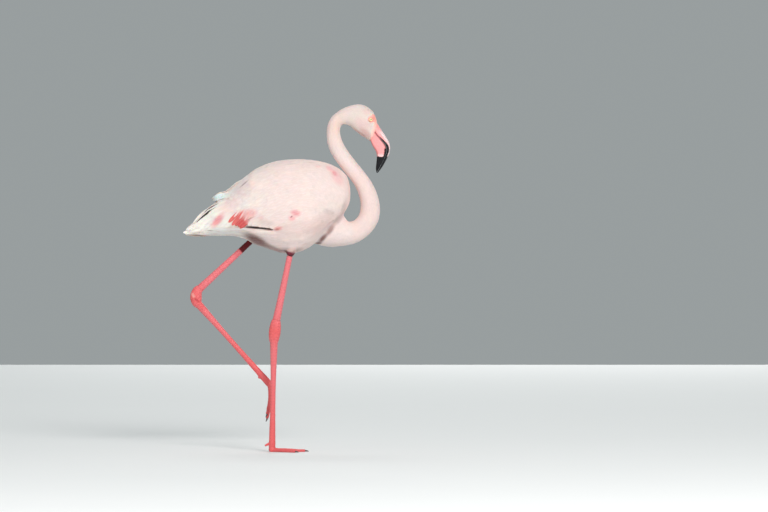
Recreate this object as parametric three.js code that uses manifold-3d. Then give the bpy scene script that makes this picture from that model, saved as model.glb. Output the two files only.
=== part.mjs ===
// Greater flamingo (Phoenicopterus roseus) at life size, in mid stride: the right foot is flat on the floor
// and the left leg swings through, its ankle bent and its toes hanging. The neck is lowered in an S and the
// bill points down. Millimetres, +Z up, +X the way the bird faces, +Y its left. The origin is on the floor,
// under the middle toe of the standing foot.
//
// The plumage is modelled as the outer form of the feathers. Head, neck lengths, trunk, wings, tail, thighs,
// shanks, ankles, shins, feet, claws, the two halves of the bill and the eyes are separate solids, a hair's
// breadth apart.

import * as THREE from "three";
import { mergeVertices } from "three/addons/utils/BufferGeometryUtils.js";
import Module from "manifold-3d";

const wasm = await Module();
wasm.setup();

// ---------------------------------------------------------------- driving dimensions

const GAP = 0.3; // between neighbouring solids
const WELD = 0.01; // corners of one solid that are nearer than this are one corner

const EYE_RADIUS = 5.4;
const EYE_PLACE = new THREE.Vector3(201.5, 14.6, 797.5); // the left eye's centre

const WING_DEPTH = 24; // folded wing and its coverts, outwards from the trunk's side
const MANTLE_DEPTH = 13; // the same over the shoulders

const THIGH = { inside: 55, below: 6, radii: [32, 24, 14, 8.6] }; // reach up inside the belly and below it
const SHANK = { top: 7, middle: 7.6, bottom: 9.4 }; // bare tibia radii
const SHIN = { top: 8.2, middle: 5.6, bottom: 7.2, depth: 1.15 }; // tarsus radii, and its depth by its width
const ANKLE = { radius: 14.6, reach: 28, inwards: 10.5, flatten: 0.78 };
const ANKLE_SHOULDERS = { reach: 0.7, above: 0.84, below: 0.86 }; // shares of its reach and its radius
const ANKLE_SQUARE = 1.6; // brings the bend measure of a leg that is bent square to 1
const TOES = {
  inner: { side: 1, length: 61, girth: 0.92 },
  middle: { side: 0, length: 79, girth: 1 },
  outer: { side: -1, length: 70, girth: 0.96 },
};
const TOE_RADII = { base: 5.6, tip: 3.5 };
const TOE_PADS = [1.1, 0.92, 1.04, 0.9, 1]; // a toe's swellings and waists, as shares of its plain radius
const TOE_REST = 0.86; // height of a toe's middle line over its flattened sole, in radii
const KNUCKLE = { height: 6.2, radius: 8.4, reach: 4.6 }; // where the toes begin, and how near the shin comes
const HIND_TOE = { height: 17, length: 11, radii: [3.4, 3, 2.4] };
const CLAW = { length: 9, radius: 2.4, hook: 1.6 };
const WEB_THICKNESS = 1.6;
const WEB_RISE = 1.1; // of its underside over the soles of the toes
const WEB_START = 0.07; // share of a toe's length where its web begins
const WEB_REACH = 0.8; // and where it ends
const WEB_SLACK = 0.3; // how far its front edge hangs back between the toes, as a share of that

// Each leg: where it leaves the belly feathers, where the lines of its two long bones cross, where the toes
// begin, the angle between neighbouring toes, how far they curl and pitch down, and the hind toe's direction.
const STANDING = {
  name: "right",
  leaves: new THREE.Vector3(8.4, -34, 477),
  ankle: new THREE.Vector3(-30.5, -20, 291),
  toes: new THREE.Vector3(-36, 0, KNUCKLE.height),
  spread: THREE.MathUtils.degToRad(36),
  curl: 0,
  pitch: 0,
  hindDirection: new THREE.Vector3(-0.9, 0, -0.43),
};
const SWINGING = {
  name: "left",
  leaves: new THREE.Vector3(-84, 36, 508.5),
  ankle: new THREE.Vector3(-230.5, 40, 372.5),
  toes: new THREE.Vector3(-41, 44, 159),
  spread: THREE.MathUtils.degToRad(15),
  curl: THREE.MathUtils.degToRad(24),
  pitch: THREE.MathUtils.degToRad(84),
  hindDirection: new THREE.Vector3(-0.94, 0, 0.34),
};

// ---------------------------------------------------------------- tables of sections

// A section between a point of the upper outline and one of the lower, both [x, z], with its half width.
const section = (place, upper, lower, half) => ({ place, upper, lower, half });

const BODY = [
  section("tail tip", [-246, 531.5], [-245, 524.5], 14),
  section("tail", [-209, 571], [-214, 520.5], 34),
  section("rump", [-165, 610], [-165, 517.5], 51),
  section("vent", [-118, 651], [-118, 516], 67),
  section("hind belly", [-78, 679.5], [-84, 499.5], 79),
  section("loin", [-36, 697], [-48, 487.5], 87),
  section("belly", [6, 703.5], [-6, 475.5], 91),
  section("keel", [48, 703.5], [28, 478.5], 91),
  section("shoulder", [88, 697], [60, 493], 84),
  section("fore breast", [121, 684], [93, 519], 70),
  section("wrist", [143.5, 664], [132, 561], 54),
  section("breast", [151, 641], [146.5, 583], 36),
  section("breast front", [153, 623], [152.5, 607], 12),
];

const HEAD = [
  section("nape", [122.4, 818.4], [134.4, 785.3], 16),
  section("hind crown", [139.2, 827.3], [145.2, 785.2], 18.5),
  section("crown", [157.2, 833.3], [154.8, 778.5], 21.5),
  section("ear", [175.2, 835.2], [166.8, 768], 23.5),
  section("cheek", [192, 829.7], [178.8, 758.9], 23),
  section("eye", [206.4, 817.7], [189.6, 752.5], 20.5),
  section("lore", [215, 802.1], [196.8, 748], 17),
  section("bill base", [217.9, 786], [201.6, 743.5], 13.5),
];

// The same for the bill, from culmen to gonys, with the share of that line which the upper half takes.
const billSection = (upper, lower, half, gape) => ({ upper, lower, half, gape });

const BILL = [
  billSection([217.9, 786], [201.6, 743.5], 12.6, 0.42),
  billSection([226.8, 771.4], [204.7, 735.6], 12.4, 0.37),
  billSection([235.9, 757.7], [209, 728.2], 12.8, 0.31),
  billSection([243.8, 744], [213.2, 721.4], 13.2, 0.26),
  billSection([247, 732], [215.2, 712.8], 12.8, 0.24),
  billSection([245.5, 718.8], [215.2, 703.2], 11.4, 0.26),
  billSection([239, 703.2], [214.2, 692.4], 9, 0.32),
  billSection([229, 685.2], [213.2, 680.9], 6, 0.4),
  billSection([219, 671.8], [214.4, 672.6], 2.6, 0.5),
];

// The neck's middle line, from inside the breast to the nape: x, z and the radius in the bird's own plane.
const NECK = [
  { x: 60, z: 536, radius: 33 },
  { x: 92, z: 531, radius: 38 },
  { x: 120, z: 528.5, radius: 37.5 },
  { x: 141, z: 525, radius: 31 },
  { x: 158.5, z: 527, radius: 27.6 },
  { x: 180.5, z: 539.5, radius: 25.2 },
  { x: 197, z: 564, radius: 25.3 },
  { x: 199.5, z: 595, radius: 23.8 },
  { x: 190.5, z: 628, radius: 21.6 },
  { x: 173.5, z: 657.5, radius: 19.6 },
  { x: 148, z: 689, radius: 19.4 },
  { x: 128, z: 716, radius: 19.4 },
  { x: 115, z: 742, radius: 18.8 },
  { x: 111, z: 769, radius: 17 },
  { x: 116.5, z: 791, radius: 16.5 },
  { x: 128.9, z: 801.8, radius: 17.4 },
  { x: 143, z: 807, radius: 19 },
];
const NECK_SIDE = 0.93; // its width against its depth
const NECK_RINGS_PER_ROW = 2.2;
const NECK_FILL = { place: new THREE.Vector3(123.5, 0, 551), radius: 22.5 }; // between neck and breast
const NECK_LENGTHS = { neck_base: 4.6, neck_bend: 7.4, neck_rise: 10.6, neck_middle: 12.9, neck_arch: 15.6 };

// The folded wing seen from the side, from the wrist over the back to the tip and along its lower edge: x, z.
const WING_OUTLINE = [
  [130, 624],
  [124, 668],
  [88, 722],
  [0, 736],
  [-92, 712],
  [-166, 652],
  [-232, 566],
  [-200, 546],
  [-100, 543],
  [-28, 534],
  [36, 524],
  [88, 546],
  [117, 584],
];

// The mantle between the wings, seen from above, as half widths along x.
const MANTLE = { hind: -92, front: 170, halfWidth: 40 };

// The loose shoulder feather that stands off the back above the wing tip, as sections from root to tip.
const LOOSE_FEATHER = [
  section("root", [-116, 655], [-116, 632], 9),
  section("middle", [-146, 630], [-147, 603], 12),
  section("bend", [-163, 624], [-166, 601], 11),
  section("tip", [-178, 616], [-178, 609], 6),
];
const LOOSE_FEATHER_Y = -16;

const TAIL_FRONT = -104; // where the tail is parted from the trunk, along x

// ---------------------------------------------------------------- shape tools

// Closed solid geometry through closed rings of equally many points, with a flat cap on either end.
function loft(rings) {
  const around = rings[0].length;
  const positions = rings.flat().flatMap((p) => [p.x, p.y, p.z]);
  const middles = [rings[0], rings.at(-1)].map((ring) =>
    ring.reduce((sum, p) => sum.add(p), new THREE.Vector3()).divideScalar(around),
  );
  middles.forEach((p) => positions.push(p.x, p.y, p.z));
  const firstMiddle = rings.length * around;
  const faces = [];
  for (let i = 0; i < rings.length - 1; i++) {
    for (let j = 0; j < around; j++) {
      const k = (j + 1) % around;
      const [a, b] = [i * around + j, i * around + k];
      const [c, d] = [b + around, a + around];
      faces.push(a, b, c, a, c, d);
    }
  }
  const lastRing = (rings.length - 1) * around;
  for (let j = 0; j < around; j++) {
    const k = (j + 1) % around;
    faces.push(firstMiddle, k, j);
    faces.push(firstMiddle + 1, lastRing + j, lastRing + k);
  }
  const geometry = new THREE.BufferGeometry();
  geometry.setAttribute("position", new THREE.Float32BufferAttribute(positions, 3));
  geometry.setIndex(faces);
  return geometry;
}

const smoothCurve = (points, closed = false) => new THREE.CatmullRomCurve3(points, closed, "catmullrom", 0.5);

// A smooth curve in the bird's own plane through [x, z] points. It passes point i at i / (count - 1).
const planeCurve = (points) => smoothCurve(points.map(([x, z]) => new THREE.Vector3(x, 0, z)));

// A smooth function through values at 0, 1, 2 ...
function through(values) {
  const curve = planeCurve(values.map((value, i) => [i, value]));
  return (place) => curve.getPoint(place / (values.length - 1)).z;
}

const signedPower = (value, power) => Math.sign(value) * Math.abs(value) ** power;

// One ring round the line from lower to upper, whose other half axis is along Y.
function ovalRing(upper, lower, half, { around = 32, squareness = 2.15, grow = 0 } = {}) {
  const middle = upper.clone().add(lower).multiplyScalar(0.5);
  const rise = upper.clone().sub(lower).multiplyScalar(0.5);
  rise.setLength(rise.length() + grow);
  return Array.from({ length: around }, (_, j) => {
    const angle = (2 * Math.PI * j) / around;
    const sideways = (half + grow) * signedPower(Math.cos(angle), 2 / squareness);
    const upwards = signedPower(Math.sin(angle), 2 / squareness);
    return middle.clone().addScaledVector(rise, upwards).add(new THREE.Vector3(0, sideways, 0));
  });
}

// Rings along a table of sections, counted in table rows from first to last.
function sectionRings(table, { first = 0, last = table.length - 1, steps, inset = {}, ...options }) {
  const upper = planeCurve(table.map((row) => row.upper));
  const lower = planeCurve(table.map((row) => row.lower));
  const half = through(table.map((row) => row.half));
  const rows = table.length - 1;
  return Array.from({ length: steps + 1 }, (_, i) => {
    const place = first + ((last - first) * i) / steps;
    const top = upper.getPoint(place / rows);
    const bottom = lower.getPoint(place / rows);
    top.z -= inset.top ?? 0;
    return ovalRing(top, bottom, Math.max(half(place) - (inset.side ?? 0), 1), options);
  });
}

const SIDEWAYS = new THREE.Vector3(0, 1, 0);

// Rings of a limb that runs through points with radii. flatten is width, along side, against depth.
function limbRings(points, radii, { around = 14, steps = 12, flatten = 1, side = SIDEWAYS } = {}) {
  const path = smoothCurve(points);
  const radius = through(radii);
  return Array.from({ length: steps + 1 }, (_, i) => {
    const t = i / steps;
    const centre = path.getPoint(t);
    const ahead = path.getTangent(t);
    const across = side.clone().addScaledVector(ahead, -side.dot(ahead)).normalize();
    const outwards = new THREE.Vector3().crossVectors(ahead, across).normalize();
    const r = radius(t * (radii.length - 1));
    return Array.from({ length: around }, (_, j) => {
      const angle = (2 * Math.PI * j) / around;
      return centre
        .clone()
        .addScaledVector(across, r * flatten * Math.cos(angle))
        .addScaledVector(outwards, r * Math.sin(angle));
    });
  });
}

// A closed geometry as a solid that can be cut and joined, turned inside out first if its faces point in.
function solid(geometry) {
  const bare = geometry.clone();
  bare.deleteAttribute("normal");
  bare.deleteAttribute("uv");
  const merged = mergeVertices(bare, 1e-4);
  const make = (triVerts) =>
    new wasm.Manifold(
      new wasm.Mesh({ numProp: 3, vertProperties: merged.attributes.position.array, triVerts }),
    );
  const triangles = new Uint32Array(merged.index.array);
  const made = make(triangles);
  if (made.volume() > 0) return made;
  return make(triangles.slice().reverse());
}

const union = (solids) => solids.reduce((joined, next) => joined.add(next));

// The solid as geometry. Corners nearer than WELD become one, and triangles that this flattens are left out.
function geometryOf(manifold) {
  const { vertProperties, triVerts } = manifold.getMesh();
  const cut = new THREE.BufferGeometry();
  cut.setAttribute("position", new THREE.Float32BufferAttribute(vertProperties, 3));
  cut.setIndex(Array.from(triVerts));
  const geometry = mergeVertices(cut, WELD);
  const faces = [];
  for (let i = 0; i < geometry.index.count; i += 3) {
    const [a, b, c] = [0, 1, 2].map((k) => geometry.index.getX(i + k));
    if (a !== b && b !== c && c !== a) faces.push(a, b, c);
  }
  geometry.setIndex(faces);
  geometry.computeVertexNormals();
  return geometry;
}

const box = (low, high) => {
  const size = new THREE.Vector3().subVectors(high, low);
  const middle = low.clone().addScaledVector(size, 0.5);
  return solid(new THREE.BoxGeometry(size.x, size.y, size.z).translate(middle.x, middle.y, middle.z));
};

const ball = (centre, radius) =>
  solid(new THREE.SphereGeometry(radius, 12, 7).translate(centre.x, centre.y, centre.z));

// ---------------------------------------------------------------- the model

const flamingo = new THREE.Group();
const finish = {
  plumage: { color: 0xf2dcd6, roughness: 0.85, metalness: 0 },
  plumageWhite: { color: 0xf1e8e2, roughness: 0.85, metalness: 0 },
  leg: { color: 0xe8606a, roughness: 0.5, metalness: 0 },
  bill: { color: 0xf0a0a2, roughness: 0.4, metalness: 0 },
  claw: { color: 0x2c2426, roughness: 0.4, metalness: 0 },
  eye: { color: 0xe8d27a, roughness: 0.1, metalness: 0 },
};

function addPart(name, shape, material) {
  const geometry = shape.isBufferGeometry ? geometryOf(solid(shape)) : geometryOf(shape);
  const mesh = new THREE.Mesh(geometry, new THREE.MeshStandardMaterial(material));
  mesh.name = name;
  flamingo.add(mesh);
}

// Trunk, wings and tail are one plumage form, parted with thin cuts.

const bodyRings = (grow) => sectionRings(BODY, { steps: 25, around: 24, grow });
const wholeBody = solid(loft(bodyRings(0)));
const grownBody = solid(loft(bodyRings(GAP)));

// The trunk under the folded wings.
const coreRings = (grow) =>
  sectionRings(BODY, {
    first: 3.2,
    last: 11.2,
    steps: 9,
    around: 16,
    inset: { top: MANTLE_DEPTH, side: WING_DEPTH },
    grow,
  });
const core = solid(loft(coreRings(0)));
const grownCore = solid(loft(coreRings(GAP)));

const BEYOND = 160; // further sideways than the body reaches

// A prism along Y over a smooth closed outline, as wide as the body and more, its outline moved out by grow.
function sidePrism(outline, { grow = 0, points = 36 } = {}) {
  const corners = outline.map(([x, z]) => new THREE.Vector3(x, z, 0));
  const flat = smoothCurve(corners, true).getSpacedPoints(points).slice(0, points);
  const middle = flat.reduce((sum, p) => sum.add(p), new THREE.Vector3()).divideScalar(flat.length);
  const shape = new THREE.Shape(
    flat.map((p) => {
      const outwards = p.clone().sub(middle);
      outwards.setLength(outwards.length() + 2 * grow);
      return new THREE.Vector2(middle.x + outwards.x, middle.y + outwards.y);
    }),
  );
  const prism = new THREE.ExtrudeGeometry(shape, { depth: 2 * BEYOND, bevelEnabled: false });
  return solid(prism.rotateX(Math.PI / 2).translate(0, BEYOND, 0));
}

const wingZone = sidePrism(WING_OUTLINE);
const grownWingZone = sidePrism(WING_OUTLINE, { grow: GAP });
const leftHalf = box(new THREE.Vector3(-400, GAP / 2, 300), new THREE.Vector3(400, BEYOND, 900));
const rightHalf = box(new THREE.Vector3(-400, -BEYOND, 300), new THREE.Vector3(400, -GAP / 2, 900));

// Everything behind the vent is tail.
const behindVent = (reach) =>
  box(new THREE.Vector3(-300, -BEYOND, 400), new THREE.Vector3(TAIL_FRONT + reach, BEYOND, 700));
const tailZone = behindVent(0);
const grownTailZone = behindVent(GAP);

// The mantle's leaf shape as an upright prism, above the core.
function mantleZone(grow) {
  const reach = MANTLE.front - MANTLE.hind;
  const edge = Array.from({ length: 13 }, (_, i) => {
    const t = i / 12;
    const half = MANTLE.halfWidth * Math.sin(Math.PI * t ** 0.72) ** 0.7;
    return new THREE.Vector2(MANTLE.hind - grow + t * reach, half + grow);
  });
  const outline = [...edge, ...edge.map((p) => new THREE.Vector2(p.x, -p.y)).reverse()];
  const prism = new THREE.ExtrudeGeometry(new THREE.Shape(outline), { depth: 200, bevelEnabled: false });
  return solid(prism.translate(0, 0, 600));
}

const bothWings = wholeBody.intersect(wingZone).subtract(grownCore).subtract(mantleZone(GAP));
const behindWings = wholeBody.subtract(grownWingZone.subtract(core).subtract(mantleZone(0)));
const looseFeather = solid(
  loft(sectionRings(LOOSE_FEATHER, { steps: 8, around: 12 })).translate(0, LOOSE_FEATHER_Y, 0),
).subtract(grownCore);

addPart("trunk", behindWings.subtract(grownTailZone), finish.plumage);
addPart("wing_left", bothWings.intersect(leftHalf), finish.plumage);
addPart("wing_right", bothWings.intersect(rightHalf).add(looseFeather.intersect(rightHalf)), finish.plumage);
addPart("tail", behindWings.intersect(tailZone).subtract(grownWingZone), finish.plumageWhite);

// Neck: one tube in five lengths, which comes out from under the breast feathers.

function neckRings(first, last, grow = 0) {
  const path = planeCurve(NECK.map(({ x, z }) => [x, z]));
  const radius = through(NECK.map((row) => row.radius));
  const steps = Math.max(4, Math.round((last - first) * NECK_RINGS_PER_ROW));
  return Array.from({ length: steps + 1 }, (_, i) => {
    const place = first + ((last - first) * i) / steps;
    const centre = path.getPoint(place / (NECK.length - 1));
    const ahead = path.getTangent(place / (NECK.length - 1));
    const rise = new THREE.Vector3(-ahead.z, 0, ahead.x).multiplyScalar(radius(place));
    return ovalRing(centre.clone().add(rise), centre.clone().sub(rise), radius(place) * NECK_SIDE, {
      around: 16,
      squareness: 2,
      grow,
    });
  });
}

const headRings = (grow) => sectionRings(HEAD, { steps: 13, around: 18, squareness: 2.05, grow });
const grownHead = solid(loft(headRings(GAP)));
const NECK_GAP = 0.012; // the gap between two lengths, in rows of the neck's table
const neckFill = ball(NECK_FILL.place, NECK_FILL.radius);
let neckFrom = 0;
for (const [name, to] of Object.entries(NECK_LENGTHS)) {
  const tube = solid(loft(neckRings(neckFrom, to - NECK_GAP)));
  const length = name === "neck_base" ? tube.add(neckFill) : tube;
  addPart(name, length.subtract(grownBody).subtract(grownHead), finish.plumage);
  neckFrom = to;
}

// Head, with sockets for the eyes, and the two halves of the bill.

const eyePlaces = { left: EYE_PLACE, right: EYE_PLACE.clone().multiply(new THREE.Vector3(1, -1, 1)) };
let head = solid(loft(headRings(0)));
for (const place of Object.values(eyePlaces)) head = head.subtract(ball(place, EYE_RADIUS + GAP));
addPart("head", head, finish.plumage);
for (const [side, place] of Object.entries(eyePlaces)) {
  addPart(`eye_${side}`, new THREE.SphereGeometry(EYE_RADIUS, 12, 7).translate(...place), finish.eye);
}

// One half of the bill: each ring is flat along the gape and rounded along the culmen or gonys. The upper
// half is the narrower one and closes inside the edges of the lower.
const BILL_HALVES = {
  upper: { sign: -1, widthShare: 0.86, roundness: 0.8 },
  lower: { sign: 1, widthShare: 1, roundness: 0.62 },
};
const BILL_FORWARD = new THREE.Vector3(0.93, 0, -0.36);

function billRings(halfName) {
  const { sign, widthShare, roundness } = BILL_HALVES[halfName];
  const culmen = planeCurve(BILL.map((row) => row.upper));
  const gonys = planeCurve(BILL.map((row) => row.lower));
  const gape = through(BILL.map((row) => row.gape));
  const half = through(BILL.map((row) => row.half));
  const rows = BILL.length - 1;
  const steps = 16;
  const around = 8;
  const baseOffset = BILL_FORWARD.clone().multiplyScalar(GAP);
  return Array.from({ length: steps + 1 }, (_, i) => {
    const place = (rows * i) / steps;
    const top = culmen.getPoint(place / rows).add(baseOffset);
    const bottom = gonys.getPoint(place / rows).add(baseOffset);
    const depth = top.distanceTo(bottom);
    const share = gape(place) + (sign * GAP) / depth;
    const seam = top.clone().lerp(bottom, share);
    const far = halfName === "upper" ? top : bottom;
    const width = half(place) * widthShare;
    return Array.from({ length: around }, (_, j) => {
      const angle = (Math.PI * j) / (around - 1);
      const outwards = signedPower(Math.sin(angle), roundness);
      return seam
        .clone()
        .lerp(far, outwards)
        .add(new THREE.Vector3(0, width * signedPower(Math.cos(angle), roundness), 0));
    });
  });
}
addPart("bill_upper", loft(billRings("upper")), finish.bill);
addPart("bill_lower", loft(billRings("lower")), finish.bill);

// Legs.

const along = (from, to, distance) =>
  from.clone().addScaledVector(new THREE.Vector3().subVectors(to, from).normalize(), distance);

// A straight limb between two points, cut square at both ends.
const straightLimb = (from, to, radii, options) => {
  const points = radii.map((_, i) => from.clone().lerp(to, i / (radii.length - 1)));
  return loft(limbRings(points, radii, options));
};

// The ankle: a knuckle that runs from the shank's line round into the shin's. A bent one lies inwards of the
// corner where the two lines cross.
function ankle({ leaves, ankle: corner, toes }) {
  const above = along(corner, leaves, ANKLE.reach);
  const below = along(corner, toes, ANKLE.reach);
  const inside = above.clone().add(below).multiplyScalar(0.5).sub(corner);
  const bend = Math.min(1, (ANKLE_SQUARE * inside.length()) / ANKLE.reach); // 0 is straight
  const joint = corner.clone().addScaledVector(inside.normalize(), ANKLE.inwards * bend);
  const aboveJoint = along(corner, leaves, ANKLE.reach * ANKLE_SHOULDERS.reach);
  const belowJoint = along(corner, toes, ANKLE.reach * ANKLE_SHOULDERS.reach);
  const radii = [
    SHANK.bottom,
    ANKLE.radius * ANKLE_SHOULDERS.above,
    ANKLE.radius,
    ANKLE.radius * ANKLE_SHOULDERS.below,
    SHIN.top * SHIN.depth,
  ];
  const rings = limbRings([above, aboveJoint, joint, belowJoint, below], radii, {
    around: 12,
    steps: 9,
    flatten: ANKLE.flatten,
  });
  return { above, below, shape: loft(rings) };
}

// A foot in its own frame: the toes run along +X from the origin, over a sole that is level at z = 0.
// A toe is a line of stations, each with its place on the sole, the direction up from it and its radius.
function toeStations({ side, length, girth }, { spread, curl }) {
  const segments = TOE_PADS.length - 1;
  const upright = new THREE.Vector3(0, 0, 1);
  const turn = side * spread;
  const stations = [];
  const sole = new THREE.Vector3();
  for (let i = 0; i <= segments; i++) {
    const pitch = -curl * (i / segments);
    const up = new THREE.Vector3(-Math.sin(pitch), 0, Math.cos(pitch)).applyAxisAngle(upright, turn);
    const radius = THREE.MathUtils.lerp(TOE_RADII.base, TOE_RADII.tip, i / segments) * girth * TOE_PADS[i];
    stations.push({ sole: sole.clone(), up, radius });
    const step = new THREE.Vector3(Math.cos(pitch), 0, Math.sin(pitch)).applyAxisAngle(upright, turn);
    sole.addScaledVector(step, length / segments);
  }
  return stations;
}

const toeLine = (stations) =>
  stations.map(({ sole, up, radius }) => sole.clone().addScaledVector(up, radius * TOE_REST));

function footShape(leg) {
  const toes = Object.fromEntries(Object.entries(TOES).map(([name, toe]) => [name, toeStations(toe, leg)]));
  const limbs = Object.values(toes).map((stations) => {
    const line = toeLine(stations);
    const forward = line[1].clone().sub(line[0]).normalize();
    const side = new THREE.Vector3(0, 0, 1).cross(forward);
    const radii = stations.map(({ radius }) => radius);
    return solid(loft(limbRings(line, radii, { around: 7, steps: 5, side })));
  });
  const web = solid(webSheet(Object.values(toes)));
  const knuckle = ball(new THREE.Vector3(0, 0, KNUCKLE.height), KNUCKLE.radius);
  return { toes, shape: union([...limbs, web, knuckle]) };
}

// The web from toe to toe: a thin sheet on the sole whose front edge hangs back in a curve between them.
function webSheet(toes) {
  const lengthwise = 3;
  const crosswise = 4;
  const curves = toes.map((stations) => smoothCurve(stations.map(({ sole }) => sole)));
  const rings = [];
  for (let i = 0; i <= (toes.length - 1) * crosswise; i++) {
    const between = Math.min(toes.length - 2, Math.floor(i / crosswise));
    const v = i / crosswise - between;
    const reach = WEB_REACH * (1 - WEB_SLACK * Math.sin(Math.PI * v));
    const sole = [];
    for (let j = 0; j <= lengthwise; j++) {
      const u = WEB_START + (reach - WEB_START) * (j / lengthwise);
      sole.push(curves[between].getPoint(u).lerp(curves[between + 1].getPoint(u), v));
    }
    const up = toes[between][2].up.clone().lerp(toes[between + 1][2].up, v).normalize();
    const underside = sole.map((p) => p.clone().addScaledVector(up, WEB_RISE));
    const top = underside.map((p) => p.clone().addScaledVector(up, WEB_THICKNESS));
    rings.push([...top, ...underside.reverse()]);
  }
  return loft(rings);
}

// A claw that goes on from a toe's last stretch and hooks down.
function claw(stations, scale = 1) {
  const line = toeLine(stations);
  const end = line.at(-1);
  const ahead = end.clone().sub(line.at(-2)).normalize();
  const { up } = stations.at(-1);
  const points = [0, 0.5, 1].map((t) =>
    end
      .clone()
      .addScaledVector(ahead, GAP + CLAW.length * scale * t)
      .addScaledVector(up, -CLAW.hook * scale * t * t),
  );
  return solid(loft(limbRings(points, [CLAW.radius, CLAW.radius * 0.75, 0.5], { around: 6, steps: 2 })));
}

const BELOW_FLOOR = new THREE.Vector3(-400, -400, -50);
const floor = box(BELOW_FLOOR, new THREE.Vector3(400, 400, 0));
const grownFloor = box(BELOW_FLOOR, new THREE.Vector3(400, 400, GAP));

function addLeg(leg) {
  const { name, leaves, ankle: corner, toes, pitch, hindDirection } = leg;

  const hip = along(leaves, corner, -THIGH.inside);
  const cuffEnd = along(leaves, corner, THIGH.below);
  const thigh = solid(straightLimb(hip, cuffEnd, THIGH.radii, { around: 14, steps: 6 }));
  addPart(`thigh_${name}`, thigh.subtract(grownBody), finish.plumage);

  const knuckle = ankle(leg);
  const shankFrom = along(cuffEnd, corner, GAP);
  const shankTo = along(knuckle.above, leaves, GAP);
  const shankRadii = [SHANK.top, SHANK.middle, SHANK.bottom];
  const shank = straightLimb(shankFrom, shankTo, shankRadii, { around: 12, steps: 3 });
  addPart(`shank_${name}`, shank, finish.leg);
  addPart(`ankle_${name}`, knuckle.shape, finish.leg);

  // The tarsus, which is deeper than wide.
  const shinFrom = along(knuckle.below, toes, GAP);
  const shin = (grow) => {
    const shinTo = along(toes, corner, KNUCKLE.reach - grow);
    const radii = [SHIN.top, SHIN.middle, SHIN.middle, SHIN.bottom].map((r) => r * SHIN.depth + grow);
    return solid(straightLimb(shinFrom, shinTo, radii, { around: 12, steps: 6, flatten: 1 / SHIN.depth }));
  };
  const foot = footShape(leg);
  const place = (shape) =>
    shape
      .translate([0, 0, -KNUCKLE.height])
      .rotate([0, THREE.MathUtils.radToDeg(pitch), 0])
      .translate(toes.toArray());
  const placedFoot = place(foot.shape).subtract(floor);
  addPart(`shin_${name}`, shin(0), finish.leg);
  addPart(`foot_${name}`, placedFoot.subtract(shin(GAP)), finish.leg);

  // The hind toe sits on the back of the shin, just above the others.
  const hindRoot = along(toes, corner, HIND_TOE.height);
  const hindReach = SHIN.bottom * SHIN.depth + HIND_TOE.length;
  const hindTip = hindRoot.clone().addScaledVector(hindDirection, hindReach);
  const hind = solid(straightLimb(hindRoot, hindTip, HIND_TOE.radii, { around: 10, steps: 4 }));
  addPart(`hind_toe_${name}`, hind.subtract(shin(GAP)).subtract(placedFoot), finish.leg);

  for (const [toe, stations] of Object.entries(foot.toes)) {
    addPart(`claw_${toe}_${name}`, place(claw(stations)).subtract(grownFloor), finish.claw);
  }
}

addLeg(STANDING);
addLeg(SWINGING);

export default flamingo;
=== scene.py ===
import math

import bmesh
import bpy
import numpy as np
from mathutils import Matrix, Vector, noise
from mathutils.bvhtree import BVHTree


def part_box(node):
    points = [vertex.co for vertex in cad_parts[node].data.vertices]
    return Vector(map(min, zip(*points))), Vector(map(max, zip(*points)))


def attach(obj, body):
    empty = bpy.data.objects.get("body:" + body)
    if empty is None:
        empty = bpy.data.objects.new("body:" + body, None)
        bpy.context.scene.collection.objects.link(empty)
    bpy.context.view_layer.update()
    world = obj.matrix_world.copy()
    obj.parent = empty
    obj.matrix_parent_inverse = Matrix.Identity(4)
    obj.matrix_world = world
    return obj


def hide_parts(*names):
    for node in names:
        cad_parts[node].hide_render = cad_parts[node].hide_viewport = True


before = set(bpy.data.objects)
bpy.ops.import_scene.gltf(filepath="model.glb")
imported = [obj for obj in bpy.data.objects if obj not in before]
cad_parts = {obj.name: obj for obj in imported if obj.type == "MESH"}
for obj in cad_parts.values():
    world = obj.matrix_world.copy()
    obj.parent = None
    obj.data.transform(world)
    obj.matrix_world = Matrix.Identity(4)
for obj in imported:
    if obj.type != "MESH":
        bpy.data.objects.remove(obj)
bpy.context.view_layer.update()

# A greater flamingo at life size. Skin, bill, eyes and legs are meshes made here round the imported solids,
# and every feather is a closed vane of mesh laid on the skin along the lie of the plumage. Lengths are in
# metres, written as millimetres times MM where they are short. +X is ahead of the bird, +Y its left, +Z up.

MM = 0.001
RANDOM = np.random.default_rng(20231)

# ---------------------------------------------------------------- the photograph's frame

PIXEL = 2.4 * MM  # the bird's size of one photo pixel
AXIS_COLUMN = 287  # the photo's column where x is zero
FLOOR_ROW = 452  # the photo's row where z is zero
IMAGE_COLUMNS, IMAGE_ROWS = 768, 512
CAMERA_DISTANCE = 15.0
CAMERA_RISE = math.radians(1.0)  # how far the camera looks down
CAMERA_CLIP = (1.0, 400.0)
SENSOR = 36.0  # width of the film, in mm


def from_photo(column, row):
    """x and z of a place in the photo, in the bird's own upright plane."""
    return (column - AXIS_COLUMN) * PIXEL, (FLOOR_ROW - row) * PIXEL


# ---------------------------------------------------------------- colours


def tone(red, green, blue):
    """A colour on the usual scale up to 255, as the linear light that shaders use."""
    share = np.array([red, green, blue]) / 255
    return np.where(share <= 0.04045, share / 12.92, ((share + 0.055) / 1.055) ** 2.4)


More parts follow.
